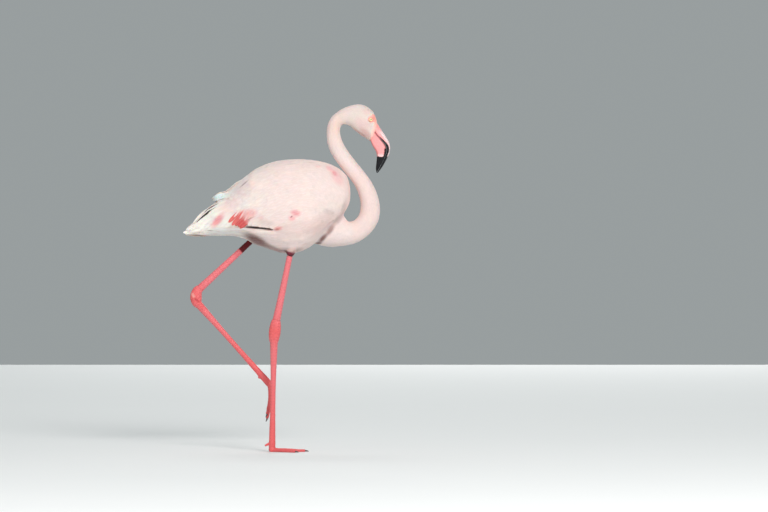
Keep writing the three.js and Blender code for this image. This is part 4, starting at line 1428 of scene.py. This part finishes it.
BILL_ROWS = 150
BILL_AROUND = 44
BILL_FLAT = 12  # corners across the inner side of each half
UPPER_WIDTH = 0.86  # of the lower half's width
ROUNDNESS = {True: 0.8, False: 0.62}  # power of the section's curve, for the upper and the lower half
ROOT_REACHES = (1.0, 0.66, 0.33)  # how far back the root's rows lie, as shares of BILL_ROOT
ROOT_TAPER = 0.12
TIP_TURNS = (25, 48, 68, 84)  # how far round the tip its rows lie, in degrees
TIP_LENGTH = 2.2 * MM
TIP_RUN = 4  # rows before the tip that give its direction
# Lines raised from the horn or sunk in it: height, distance from the line's middle and width in mm, and the
# share of the way from gape to ridge from where they show.
RIDGE = (0.45, 0.0, 1.8, 0.5)
RIDGE_GROOVE = (-0.3, 5.2, 1.1, 0.3)
NOSTRIL_SLIT = (-1.5, 0.0, 0.85, 0.1)
NOSTRIL_RIM = (0.35, 2.0, 0.9, 0.1)
KEEL_GROOVE = (-0.5, 0.0, 1.4, 0.8)
KEEL_END = (6.5, 4.5)  # sections of the bill between which the keel's groove fades in
LAMELLAE = (0.22, 26)  # height in mm of the lower side's fine ribs, and how closely they lie
LAMELLAE_FROM = 0.05
LAMELLAE_FADE = (0.9, 0.5)
UNEVEN = ((0.14, 5), (0.06, 1.4))  # heights and sizes of the horn's unevenness, in mm


def ring_faces(rings, around, closed=False):
    """The faces between rings of corners, and from the last ring to the first one if they are closed."""
    faces = []
    for i in range(rings if closed else rings - 1):
        n = (i + 1) % rings
        for j in range(around):
            k = (j + 1) % around
            faces.append((i * around + j, i * around + k, n * around + k, n * around + j))
    return faces


def grid_mesh(name, rings):
    """A closed mesh through rings of equally many corners, capped at both ends."""
    count, around = rings.shape[:2]
    corners = [*rings.reshape(-1, 3), rings[0].mean(0), rings[-1].mean(0)]
    faces = ring_faces(count, around)
    first, last = count * around, count * around + 1
    for j in range(around):
        k = (j + 1) % around
        faces.append((first, k, j))
        faces.append((last, (count - 1) * around + j, (count - 1) * around + k))
    return outward_mesh(name, corners, faces)


def signed_power(value, power):
    """A power that keeps the value's sign."""
    return np.sign(value) * np.abs(value) ** power


def horn_line(away, side_share, line):
    """The height of one of the lines in the horn, at distances from its middle."""
    height, middle, width, start = line
    return height * MM * bump(away - middle * MM, width * MM) * (side_share > start)


def make_bill_half(upper):
    """One half of the bill, with its ridge, nostril slits, grooves and the line of the gape."""
    last = len(BILL) - 1
    root_rows, tip_rows = len(ROOT_REACHES), len(TIP_TURNS)
    places = np.concatenate([np.zeros(root_rows), np.linspace(0, last, BILL_ROWS), np.full(tip_rows, last)])
    sections = through(BILL, places)
    culmen = upright(sections[:, 0], sections[:, 1]) * MM
    gonys = upright(sections[:, 2], sections[:, 3]) * MM
    width = sections[:, 4] * MM * (UPPER_WIDTH if upper else 1)
    depth = away_from(culmen, gonys)
    share = sections[:, 5] + (-BILL_GAP if upper else BILL_GAP) / depth
    seam = culmen + (gonys - culmen) * share[:, None]
    far = culmen if upper else gonys
    turn = np.linspace(0, np.pi, BILL_AROUND)
    out = signed_power(np.sin(turn), ROUNDNESS[upper])
    aside = signed_power(np.cos(turn), ROUNDNESS[upper])
    arc = seam[:, None, :] + (far - seam)[:, None, :] * out[None, :, None]
    arc[:, :, 1] += width[:, None] * aside[None, :]
    across = np.linspace(-1, 1, BILL_FLAT + 2)[1:-1]
    flat = np.repeat(seam[:, None, :], BILL_FLAT, axis=1)
    flat[:, :, 1] += width[:, None] * across[None, :]
    rings = np.concatenate([arc, flat], axis=1)

    backwards = unit(BILL_BASE - BILL_BEND)
    first = rings[root_rows]
    middle = first.mean(0)
    for row, reach in enumerate(ROOT_REACHES):
        rings[row] = middle + (first - middle) * (1 - ROOT_TAPER * reach) + backwards * BILL_ROOT * reach
    end = rings[-1 - tip_rows]
    middle = end.mean(0)
    ahead = unit(middle - rings[-1 - tip_rows - TIP_RUN].mean(0))
    for row, turned in enumerate(np.radians(TIP_TURNS), len(rings) - tip_rows):
        rings[row] = middle + (end - middle) * math.cos(turned) + ahead * TIP_LENGTH * math.sin(turned)

    mesh = grid_mesh("bill_upper_horn" if upper else "bill_lower_horn", rings)
    corners = corners_of(mesh)
    side_share = np.concatenate([np.tile(np.concatenate([out, np.zeros(BILL_FLAT)]), len(places)), [0, 0]])
    row_place = np.concatenate([np.repeat(places, rings.shape[1]), [0, last]])
    aside = corners[:, 1]
    if upper:
        from_nostril = off_line(corners[:, [0, 2]], *NOSTRIL)
        push = horn_line(aside, side_share, RIDGE)
        push += horn_line(np.abs(aside), side_share, RIDGE_GROOVE)
        push += horn_line(from_nostril, side_share, NOSTRIL_SLIT)
        push += horn_line(from_nostril, side_share, NOSTRIL_RIM)
    else:
        height, closeness = LAMELLAE
        push = height * MM * np.sin(side_share * closeness)
        push *= smoothstep(*LAMELLAE_FADE, side_share) * (side_share > LAMELLAE_FROM)
        push += horn_line(aside, side_share, KEEL_GROOVE) * smoothstep(*KEEL_END, row_place)
    for height, size in UNEVEN:
        push += height * MM * cloud(corners, size * MM)
    corners += normals_of(mesh) * push[:, None]
    set_corners(mesh, corners)
    paint(mesh, bill_colour(corners, side_share, row_place, upper))
    return new_object(mesh.name, mesh)


BLACK_EDGE = from_photo(0, 156.6)[1]  # height where the bill turns black
BLACK_SOFT = 1.2 * MM  # how soft that edge is
BLACK_RAGGED = 2.2 * MM
RAGGED_SIZE = 3.2 * MM
RIDGE_SIDE = (0.35, 0.8)  # shares of the way from gape to ridge between which the ridge turns pale
RIDGE_START = (0.2, 1.6)  # sections of the bill between which it does
BASE_END = (0.9, 0.0)  # the same for the skin's colour at the base
BASE_SHARE = 0.55
PALE_BAND = (9 * MM, 2 * MM)  # heights over the black between which the lower half turns pale
PALE_SHARE = 0.7
KEEL_SHADE_SIDE = (0.8, 0.97)  # shares of the way from gape to keel between which painted shade in the chin's dark pink fades in
KEEL_SHADE_SHARE = 0.8
KEEL_SHADE_DARK = 0.7
# Where the crimson along the gape fades in, and how strong: the horn's dark edge with painted shadow of the
# gap.
GAPE_SHADE_SIDE = (0.05, 0.0)
GAPE_SHADE_SHARE = 0.8
BAND_FROM = 1.15  # section of the bill where the black band along the gape begins
# That band on the upper and the lower half: its width there and how much wider it gets, as shares of the
# way from gape to ridge; the sections between which it does; how soft it is outside and inside; how ragged;
# and where it fades in, counted from BAND_FROM.
BANDS = {
    True: (0.12, 0.62, (BAND_FROM, 4.6), (0.08, 0.08), 0.06, (-0.3, 0.5)),
    False: (0.06, 0.2, (2.2, 4.8), (0.05, 0.03), 0.05, (0, 1)),
}


def bill_colour(corners, side_share, row_place, upper):
    """Pink with a pale ridge, a dark gape that widens to a band, and a black tip. The crimson at the gape is
    the horn's dark edge with painted shadow of the gap between the halves; the dark pink along the lower
    half's keel is painted shade.
    """
    ragged = cloud(corners, RAGGED_SIZE)
    height = corners[:, 2]
    black = smoothstep(BLACK_EDGE + BLACK_SOFT, BLACK_EDGE - BLACK_SOFT, height + ragged * BLACK_RAGGED)
    width, widening, sections, (outside, inside), uneven, start = BANDS[upper]
    reach = width + widening * smoothstep(*sections, row_place)
    band = smoothstep(reach + outside, reach - inside, side_share + uneven * ragged)
    band *= smoothstep(BAND_FROM + start[0], BAND_FROM + start[1], row_place)
    base = (BARE_PINK, BASE_SHARE * smoothstep(*BASE_END, row_place))
    if upper:
        ridge = smoothstep(*RIDGE_SIDE, side_share) * smoothstep(*RIDGE_START, row_place)
        own = [(BILL_PALE, ridge), base]
    else:
        pale = smoothstep(BLACK_EDGE + PALE_BAND[0], BLACK_EDGE + PALE_BAND[1], height)
        # Painted shade along the lower half's keel, in the chin's pink darkened.
        chin = smoothstep(*KEEL_SHADE_SIDE, side_share)
        own = [base, (BILL_PALE, PALE_SHARE * pale), (CHIN_PINK * KEEL_SHADE_DARK, KEEL_SHADE_SHARE * chin)]
    # Crimson along the gape: the horn's dark edge, with painted shadow of the gap between the halves.
    gape = (CRIMSON, GAPE_SHADE_SHARE * smoothstep(*GAPE_SHADE_SIDE, side_share))
    return layered(BILL_PINK, *own, gape, (BILL_BLACK, np.maximum(black, band)))


# ---------------------------------------------------------------- eyes and lids

EYE_RINGS = 40
EYE_AROUND = 56
EYE_AHEAD, EYE_UP = 0.10, 0.04  # where the eyes look, for 1 to the side
BALL_SHARE = 0.985  # the eyeball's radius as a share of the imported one
CORNEA_HEIGHT = 0.06  # how far the cornea stands out, as the same share
CORNEA_WIDTH = 0.5  # radians
IRIS = 4.3 * MM
IRIS_RIM = 0.8  # of its radius, where it starts to get darker
IRIS_DARK = 0.62
WHITE_EDGE = 0.4 * MM  # how soft the iris ends
PUPIL = 0.3 * IRIS
PUPIL_EDGE = (0.25 * MM, -0.1 * MM)  # how far outside and inside its radius it ends
LID_ROWS = 22
LID_AROUND = 72
LID_CORNERS = 0.10  # how much longer the opening is before and behind
LID_POINTED = 8  # power that keeps this to its two ends
LID_FLAT = 0.07  # how much lower it is
LID_OVERLAP = 0.6 * MM  # how far the lids' ring reaches out over the feathers' edge
LID_CROWDING = 1.15  # power by which its rows stand closer at the opening
LID_ON_BALL = 0.55 * MM  # how far the lids lie off the eyeball
LID_LEAST = 1.2 * MM
LID_THICK = 0.9 * MM
LID_SUNK = 0.25 * MM  # how far the ring's outer edge is sunk in the skin
RIM = (0.35 * MM, 0.1, 0.1)  # height, place and width of the thick rim along the opening
FACE_FROM = 0.34  # the share of the ring where it leaves the ball for the face
WRINKLE = 0.16 * MM
WRINKLES_PER_MM = 5.2  # radians of their wave
WRINKLE_BEND = (0.8, 3)  # how far they swing in and out round the eye, and how often
WRINKLE_START, WRINKLE_END = (0.1, 0.3), (1.0, 0.7)
LID_EDGE_SOFT = 1.6 * MM
LID_CREAM = (5.5 * MM, LID_REACH)  # distances from the eye between which the ring turns cream
CREAM_SHARE = 0.5
LORE_ON_LID = 0.85
FAR_ASIDE = 60 * MM  # where the rays start that look for the face


def make_eye(side):
    """An eyeball with a raised cornea, a yellow iris and a dark pupil."""
    eye = EYES[side]
    out = unit(np.array([EYE_AHEAD, side * 1.0, EYE_UP]))
    first = unit(np.cross([0.0, 0.0, 1.0], out))
    second = np.cross(out, first)
    turn = np.linspace(0, math.pi, EYE_RINGS + 2)[1:-1]
    around = np.linspace(0, 2 * math.pi, EYE_AROUND, endpoint=False)[None, :, None]
    radius = EYE_RADIUS * (BALL_SHARE + CORNEA_HEIGHT * bump(turn, CORNEA_WIDTH))
    forward, outward = (radius * wave(turn) for wave in (np.cos, np.sin))
    circle = np.cos(around) * first + np.sin(around) * second
    rings = eye + forward[:, None, None] * out + outward[:, None, None] * circle
    mesh = grid_mesh(f"eyeball_{SIDES[side]}", rings)
    offset = corners_of(mesh) - eye
    away = np.linalg.norm(np.cross(offset, out), axis=1)
    pupil = smoothstep(PUPIL + PUPIL_EDGE[0], PUPIL + PUPIL_EDGE[1], away)
    white = np.maximum(smoothstep(IRIS, IRIS + WHITE_EDGE, away), (offset @ out) < 0)
    rim = smoothstep(IRIS_RIM * IRIS, IRIS, away)
    layers = ((IRIS_YELLOW * IRIS_DARK, rim), (PUPIL_BLACK, pupil), (EYE_WHITE, white))
    paint(mesh, layered(IRIS_YELLOW, *layers))
    return new_object(mesh.name, mesh)


def make_lids(side, ground):
    """The ring of bare skin round an eye: a thick wrinkled rim on the eyeball, running out into the face."""
    eye = EYES[side]
    around = np.linspace(0, 2 * math.pi, LID_AROUND, endpoint=False)
    reach = np.linspace(0, 1, LID_ROWS)
    opening = LID_OPENING * (1 + LID_CORNERS * np.cos(around) ** LID_POINTED - LID_FLAT * np.sin(around) ** 2)
    room = LID_REACH + LID_OVERLAP - opening
    radius = opening[None, :] + room[None, :] * reach[:, None] ** LID_CROWDING
    x = eye[0] + radius * np.cos(around)[None, :]
    z = eye[2] + radius * np.sin(around)[None, :]
    on_ball = np.sqrt(np.maximum((EYE_RADIUS + LID_ON_BALL) ** 2 - radius**2, LID_LEAST**2))
    rim_height, rim_place, rim_width = RIM
    rim = rim_height * bump(reach - rim_place, rim_width)[:, None]
    ball = eye[1] + side * (on_ball + rim)
    edge = np.empty(LID_AROUND)
    for j in range(LID_AROUND):
        start = Vector((x[-1, j], side * FAR_ASIDE, z[-1, j]))
        spot = ground.tree.ray_cast(start, Vector((0, -side, 0)))[0]
        edge[j] = spot.y if spot else eye[1]
    on_face = smoothstep(FACE_FROM, 1.0, reach)[:, None]
    y = ball * (1 - on_face) + (edge[None, :] - side * LID_SUNK) * on_face
    swing, times = WRINKLE_BEND
    wave = radius / MM * WRINKLES_PER_MM + swing * np.sin(times * around)[None, :]
    wrinkled = smoothstep(*WRINKLE_START, reach) * smoothstep(*WRINKLE_END, reach)
    y += side * WRINKLE * np.sin(wave) * wrinkled[:, None]
    outer = np.stack([x, y, z], axis=2)
    inner = outer - np.array([0.0, side * LID_THICK, 0.0])
    corners = np.concatenate([outer, inner[::-1]], axis=0).reshape(-1, 3)
    faces = ring_faces(2 * LID_ROWS, LID_AROUND, closed=True)
    if side > 0:
        faces = [face[::-1] for face in faces]
    mesh = outward_mesh(f"eyelids_{SIDES[side]}", corners, faces)
    away = np.hypot(corners[:, 0] - eye[0], corners[:, 2] - eye[2])
    paint(mesh, layered(
        LID_PINK,
        (FACE_PINK, smoothstep(LID_OPENING, LID_OPENING + LID_EDGE_SOFT, away)),
        (CREAM, CREAM_SHARE * smoothstep(*LID_CREAM, away)),
        (SALMON, LORE_ON_LID * lore_share(corners)),
    ))
    return new_object(mesh.name, mesh)


UNDER_COAT = 0.96  # how much darker the skin is than the plumage over it
BARE_EDGE = (3 * MM, -2 * MM)  # distances from the bare skin's edge between which it turns pink
EYE_RING = (11 * MM, 7.5 * MM)  # distances from an eye between which the skin does
EYE_RING_SHARE = 0.6
LORE_ON_SKIN = 0.9
CHIN_DOWN = (0.55, 0.95)  # how far down the bill's edge the chin's colour fades in
CHIN_ON_SKIN = 0.7


def skin_colour(places):
    """The plumage's colours on the skin, pinker where the face is bare."""
    behind, down = behind_bill(places)
    edge = (BARE_BEHIND_BILL[0] - BARE_BEHIND_BILL[1] * down) * MM
    bare = smoothstep(edge + BARE_EDGE[0], edge + BARE_EDGE[1], behind)
    rings = [smoothstep(*EYE_RING, away_from(places, eye)) for eye in EYES.values()]
    return layered(
        plumage_colour(places) * UNDER_COAT,
        (FACE_PINK, bare),
        *[(FACE_PINK, EYE_RING_SHARE * ring) for ring in rings],
        (SALMON, LORE_ON_SKIN * lore_share(places)),
        (CHIN_PINK, CHIN_ON_SKIN * bare * smoothstep(*CHIN_DOWN, down)),
    )


# ---------------------------------------------------------------- legs

LEG_VOXEL = 1.1 * MM
LEG_SWELL = 0.2 * MM
LEG_ROUNDS = 3
BALL_DETAIL = 3  # subdivisions of the balls that are added to a leg's form
CLAW_ROOT = 0.8 * MM  # how much of a claw counts as its root
CUTICLE = 0.5 * MM  # how far the skin at a claw's root stands out from it
CUTICLE_LENGTH = 2.4 * MM
CUTICLE_BACK = 0.45  # how far it is moved back from the root, as a share of its length
LEG_TOP_SHADOW = {"left": (36, 41, 1.0), "right": (-2, 8, 0.5)}  # where a leg's dark top ends, mm, and its strength: painted shadow of the belly over darker red skin
ANKLE_SOFT = 24 * MM  # how far from the ankle the leg's form is evened out
ANKLE_EVEN = (34, 0.6, 0.3)  # rounds, pull and push of that
BEND_ABOVE, BEND_BELOW = 46 * MM, 48 * MM  # where the flesh in the ankle's bend begins and ends on the bones
BEND_HALF_WIDTH = 5.8 * MM
CALF = (18 * MM, 80 * MM)  # where the shin's thicker top begins and ends below the ankle
CALF_HALF_WIDTHS = (10 * MM, 6.2 * MM)
CALF_BALLS = 26
# Marks on each leg's ankle, as the plumage's are: on the left one, painted shade in a crease and a painted
# highlight on the heel.
ANKLE_MARKS = {
    "left": {
        # Next: painted shade in the ankle's crease, in crimson.
        "crease": (196.4, 300.4, 3.6, 1.1, -42, CRIMSON, 0.5),
        # Next: painted highlight on the heel, in the face's pale pink.
        "heel_highlight": (192.6, 295.6, 3.0, 1.7, -60, FACE_PINK, 0.5),
        "shin": (201.0, 306.5, 5.5, 1.8, -58, DEEP_CORAL, 0.6),
    },
    "right": {},
}
LEG_NODES = ["shank", "ankle", "shin", "foot", "hind_toe"]
FORWARD = np.array([1.0, 0.0, 0.0])
SCUTE = 7.4 * MM  # height of one broad scale on the front and back of a leg
SCUTE_SEAM = 0.75 * MM  # width of the seams between them
SCUTE_SEAM_TINT = 0.7 * MM  # the same where they are coloured
SCUTE_DEPTH = 0.42 * MM
SCUTE_SIDES = (0.35, 0.75)  # how far round to the front or back they start, as a cosine
TOE_SCUTE = 3.3 * MM
TOE_SEAM = 0.5 * MM
TOE_DEPTH = 0.25 * MM
SMALL_SCALE = 2.6 * MM
SMALL_SEAM = 0.22  # width of the small scales' seams, as a share of their size
SMALL_DEPTH = 0.22 * MM
LEG_UNEVEN = (0.15 * MM, 9 * MM)  # height and size of a leg's unevenness
FOOT_REACH = (16 * MM, 9 * MM)  # heights over the toes' root between which the foot begins
LOWER_OVERLAP = (4 * MM, 22 * MM)  # how far the lower bone's scales reach up past the ankle, on each bone
SEAM_DARK = 0.28
SMALL_SEAM_DARK = 0.7
TOE_SEAM_DARK = 0.8
ANKLE_RED = (30 * MM, 0.8)  # reach and strength of the redder skin at the ankle
LOW_RED = (40 * MM, 0.7)  # height over the ankle from which the leg gets redder downwards, and how much


def along_bone(places, start, end):
    """How far along a bone places are, as a length, and the direction round it from its front."""
    bone = end - start
    ahead = bone / np.linalg.norm(bone)
    offset = places - start
    run = offset @ ahead
    front = unit(FORWARD - ahead * (FORWARD @ ahead))
    aside = np.cross(ahead, front)
    return run, np.arctan2(offset @ aside, offset @ front), np.linalg.norm(bone)


def groove(run, spacing, width):
    """How near each place is to one of a row of seams."""
    gap = np.abs((run / spacing + 0.5) % 1 - 0.5) * spacing
    return bump(gap, width)


def cuticle(whole, claw, knuckle):
    """Adds the swelling of skin round the root of a claw to a leg's form."""
    places = corners_of(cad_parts[claw].data)
    along = unit(places.mean(axis=0) - knuckle)
    run = (places - knuckle) @ along
    root = places[run < run.min() + CLAW_ROOT]
    middle = root.mean(axis=0)
    size = away_from(root, middle).max() + CUTICLE
    ball = bmesh.ops.create_icosphere(whole, subdivisions=BALL_DETAIL, radius=1.0)["verts"]
    turn = Vector(along).to_track_quat("Z", "Y").to_matrix()
    for corner in ball:
        stretched = Vector((corner.co.x * size, corner.co.y * size, corner.co.z * CUTICLE_LENGTH))
        corner.co = turn @ stretched + Vector(middle - along * CUTICLE_LENGTH * CUTICLE_BACK)


def ankle_flesh(whole, bones):
    """Adds the flesh that fills the inner side of the ankle's bend and thickens the shin's top, as balls."""
    above = unit(bones["leaves"] - bones["ankle"])
    below = unit(bones["toes"] - bones["ankle"])
    for share in np.linspace(0, 1, CALF_BALLS):
        in_bend = above * BEND_ABOVE * (1 - share) ** 2 + below * BEND_BELOW * share**2
        in_calf = below * np.interp(share, (0, 1), CALF)
        calf_size = np.interp(share, (0, 1), CALF_HALF_WIDTHS)
        for offset, size in ((in_bend, BEND_HALF_WIDTH), (in_calf, calf_size)):
            ball = bmesh.ops.create_icosphere(whole, subdivisions=BALL_DETAIL, radius=size)["verts"]
            bmesh.ops.translate(whole, vec=Vector(bones["ankle"] + offset), verts=ball)


def make_leg(name):
    """A bare leg in one skin: broad scales in front and behind, small ones between, ringed toes and webs."""
    bones = {key: np.array(place) * MM for key, place in LEGS[name].items()}
    form = copies([f"{part}_{name}" for part in LEG_NODES], LEG_SWELL)
    for toe in ("inner", "middle", "outer"):
        cuticle(form, f"claw_{toe}_{name}", bones["toes"])
    ankle_flesh(form, bones)
    leg = remeshed(form, f"leg_{name}_skin", LEG_VOXEL)
    mesh = leg.data
    edges = edges_of(mesh)
    places = smoothed(corners_of(mesh), edges, LEG_ROUNDS)
    near_ankle = bump(away_from(places, bones["ankle"]), ANKLE_SOFT)
    places = mixed(places, relaxed(places, edges, *ANKLE_EVEN), near_ankle)
    set_corners(mesh, places)
    normals = normals_of(mesh)
    upper_run, upper_turn, upper_length = along_bone(places, bones["leaves"], bones["ankle"])
    lower_run, lower_turn, lower_length = along_bone(places, bones["ankle"], bones["toes"])
    on_foot = smoothstep(*FOOT_REACH, np.abs(lower_run - lower_length) * (lower_run < lower_length))
    on_lower = (lower_run > -LOWER_OVERLAP[0]) & (upper_run > upper_length - LOWER_OVERLAP[1])
    run = np.where(on_lower, lower_run, upper_run)
    turn = np.where(on_lower, lower_turn, upper_turn)
    broad = smoothstep(*SCUTE_SIDES, np.abs(np.cos(turn))) * (1 - on_foot)
    cells = np.array([noise.voronoi(Vector(p))[0][:2] for p in (places / SMALL_SCALE).tolist()])
    small = smoothstep(0.0, SMALL_SEAM, cells[:, 1] - cells[:, 0])
    ring = groove(away_from(places, bones["toes"]), TOE_SCUTE, TOE_SEAM) * on_foot
    push = -SCUTE_DEPTH * groove(run, SCUTE, SCUTE_SEAM) * broad
    push += SMALL_DEPTH * (small - 1) * (1 - broad)
    push -= TOE_DEPTH * ring
    push += LEG_UNEVEN[0] * cloud(places, LEG_UNEVEN[1])
    places += normals * push[:, None]
    if name == "right":
        places[:, 2] = np.maximum(places[:, 2], 0.0)  # this foot stands on the floor
    set_corners(mesh, places)
    shade_smooth(mesh)
    seam = groove(run, SCUTE, SCUTE_SEAM_TINT) * broad
    seam = np.maximum(seam, (1 - small) * (1 - broad) * SMALL_SEAM_DARK)
    seam = np.maximum(seam, ring * TOE_SEAM_DARK)
    paint(mesh, mixed(leg_colour(places, upper_run, name, bones), LEG_DARK, SEAM_DARK * seam))
    return leg


def leg_colour(places, upper_run, name, bones):
    """Coral pink, redder at the ankle and below, dark where the leg goes up into the belly: darker red skin
    with the belly's painted shadow over it.
    """
    reach, ankle_strength = ANKLE_RED
    above, low_strength = LOW_RED
    low = smoothstep(bones["ankle"][2] + above, bones["toes"][2], places[:, 2])
    start, end, strength = LEG_TOP_SHADOW[name]
    return layered(
        LEG_PINK,
        (LEG_CORAL, ankle_strength * bump(away_from(places, bones["ankle"]), reach)),
        (LEG_CORAL, low_strength * low),
        *mark_shares(places, ANKLE_MARKS[name]),
        # Painted shadow of the belly on the leg's top, over its darker skin.
        (LEG_DARK, strength * smoothstep(end * MM, start * MM, upper_run)),
    )


# ---------------------------------------------------------------- the studio


def aim(obj, target):
    """Turns a light or the camera towards a place."""
    obj.rotation_mode = "QUATERNION"
    obj.rotation_quaternion = (Vector(target) - obj.location).to_track_quat("-Z", "Y")


def make_camera():
    """A long lens at the photo's low viewpoint, framed as the photo is."""
    x, z = from_photo(IMAGE_COLUMNS / 2, IMAGE_ROWS / 2)
    target = Vector((x, 0, z))
    data = bpy.data.cameras.new("camera")
    data.sensor_width = SENSOR
    data.lens = SENSOR * CAMERA_DISTANCE / (IMAGE_COLUMNS * PIXEL)
    data.clip_start, data.clip_end = CAMERA_CLIP
    camera = new_object("camera", data)
    camera.location = target + Vector((0, -math.cos(CAMERA_RISE), math.sin(CAMERA_RISE))) * CAMERA_DISTANCE
    aim(camera, target)
    bpy.context.scene.camera = camera


LIGHTS = {
    # name: place, size, power, colour
    "key": ((2.6, -7.2, 4.4), 3.2, 600, (1.0, 0.95, 0.935)),
    "fill": ((-5.4, -5.0, 2.2), 4.4, 100, (1.0, 0.96, 0.95)),
    "top": ((-0.6, 3.0, 6.4), 3.6, 56, (1.0, 0.97, 0.96)),
    "back": ((1.0, 7.6, 2.6), 5.0, 110, (1.0, 0.97, 0.96)),
}
LIT_PLACE = (0.02, 0, 0.55)  # what the lights are aimed at
SURROUNDINGS = 0.63  # strength of the light from all round
FLOOR_SIZE = 12.0
FLOOR_FACES = 12  # along each side


def make_lights():
    """A soft key from above, in front and on the camera's side, with weaker lights from the other sides."""
    for name, (place, size, power, colour) in LIGHTS.items():
        data = bpy.data.lights.new(name, "AREA")
        data.shape = "DISK"
        data.size = size
        data.energy = power
        data.color = colour
        light = new_object(name, data)
        light.location = place
        aim(light, LIT_PLACE)
    world = bpy.data.worlds.new("studio")
    world.use_nodes = True
    back = world.node_tree.nodes["Background"]
    back.inputs["Color"].default_value = (*STUDIO_PALE, 1)
    back.inputs["Strength"].default_value = SURROUNDINGS
    bpy.context.scene.world = world
    bpy.context.scene.view_settings.view_transform = "Standard"


def make_floor():
    """The pale floor that the bird stands on."""
    form = bmesh.new()
    bmesh.ops.create_grid(form, x_segments=FLOOR_FACES, y_segments=FLOOR_FACES, size=FLOOR_SIZE / 2)
    mesh = bpy.data.meshes.new("floor")
    form.to_mesh(mesh)
    form.free()
    floor = new_object("floor", mesh)
    floor.data.materials.append(floor_look())


# ---------------------------------------------------------------- the whole bird

make_camera()
make_lights()
make_floor()
OWNER = Owner(FLESH)

skin = make_skin()
unwrap(skin)
paint(skin.data, skin_colour(corners_of(skin.data)))
wear(skin, skin_look())
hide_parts(*FLESH)
GROUND = Ground(skin.data)

body_feathers = feather_look("body_feathers")
small_feathers = feather_look("small_feathers", barbs=12.0, depth=0.03 * MM)
for tract in TRACTS:
    for piece in grow_tract(GROUND, tract):
        large = tract == "body"
        wear(piece, body_feathers if large else small_feathers)

long_look = feather_look("long_feathers", barbs=90.0)
for side in (-1, 1):
    wear(long_feathers(GROUND, side), long_look)
wear(loose_feathers(GROUND), long_look)
wear(tail_feathers(GROUND), long_look)

horn = bill_look()
for upper in (True, False):
    half = make_bill_half(upper)
    wear(half, horn)
    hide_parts("bill_upper" if upper else "bill_lower")

wet = eye_look()
lid_skin = skin_look()
for side, word in SIDES.items():
    eyeball = make_eye(side)
    wear(eyeball, wet)
    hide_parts(f"eye_{word}")
    wear(make_lids(side, GROUND), lid_skin)

scaled = leg_look()
for word in LEGS:
    leg = make_leg(word)
    wear(leg, scaled)
    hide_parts(*[f"{part}_{word}" for part in LEG_NODES])

claw_horn = claw_look()
for node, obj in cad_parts.items():
    if node.startswith("claw_"):
        obj.data.materials.clear()
        obj.data.materials.append(claw_horn)
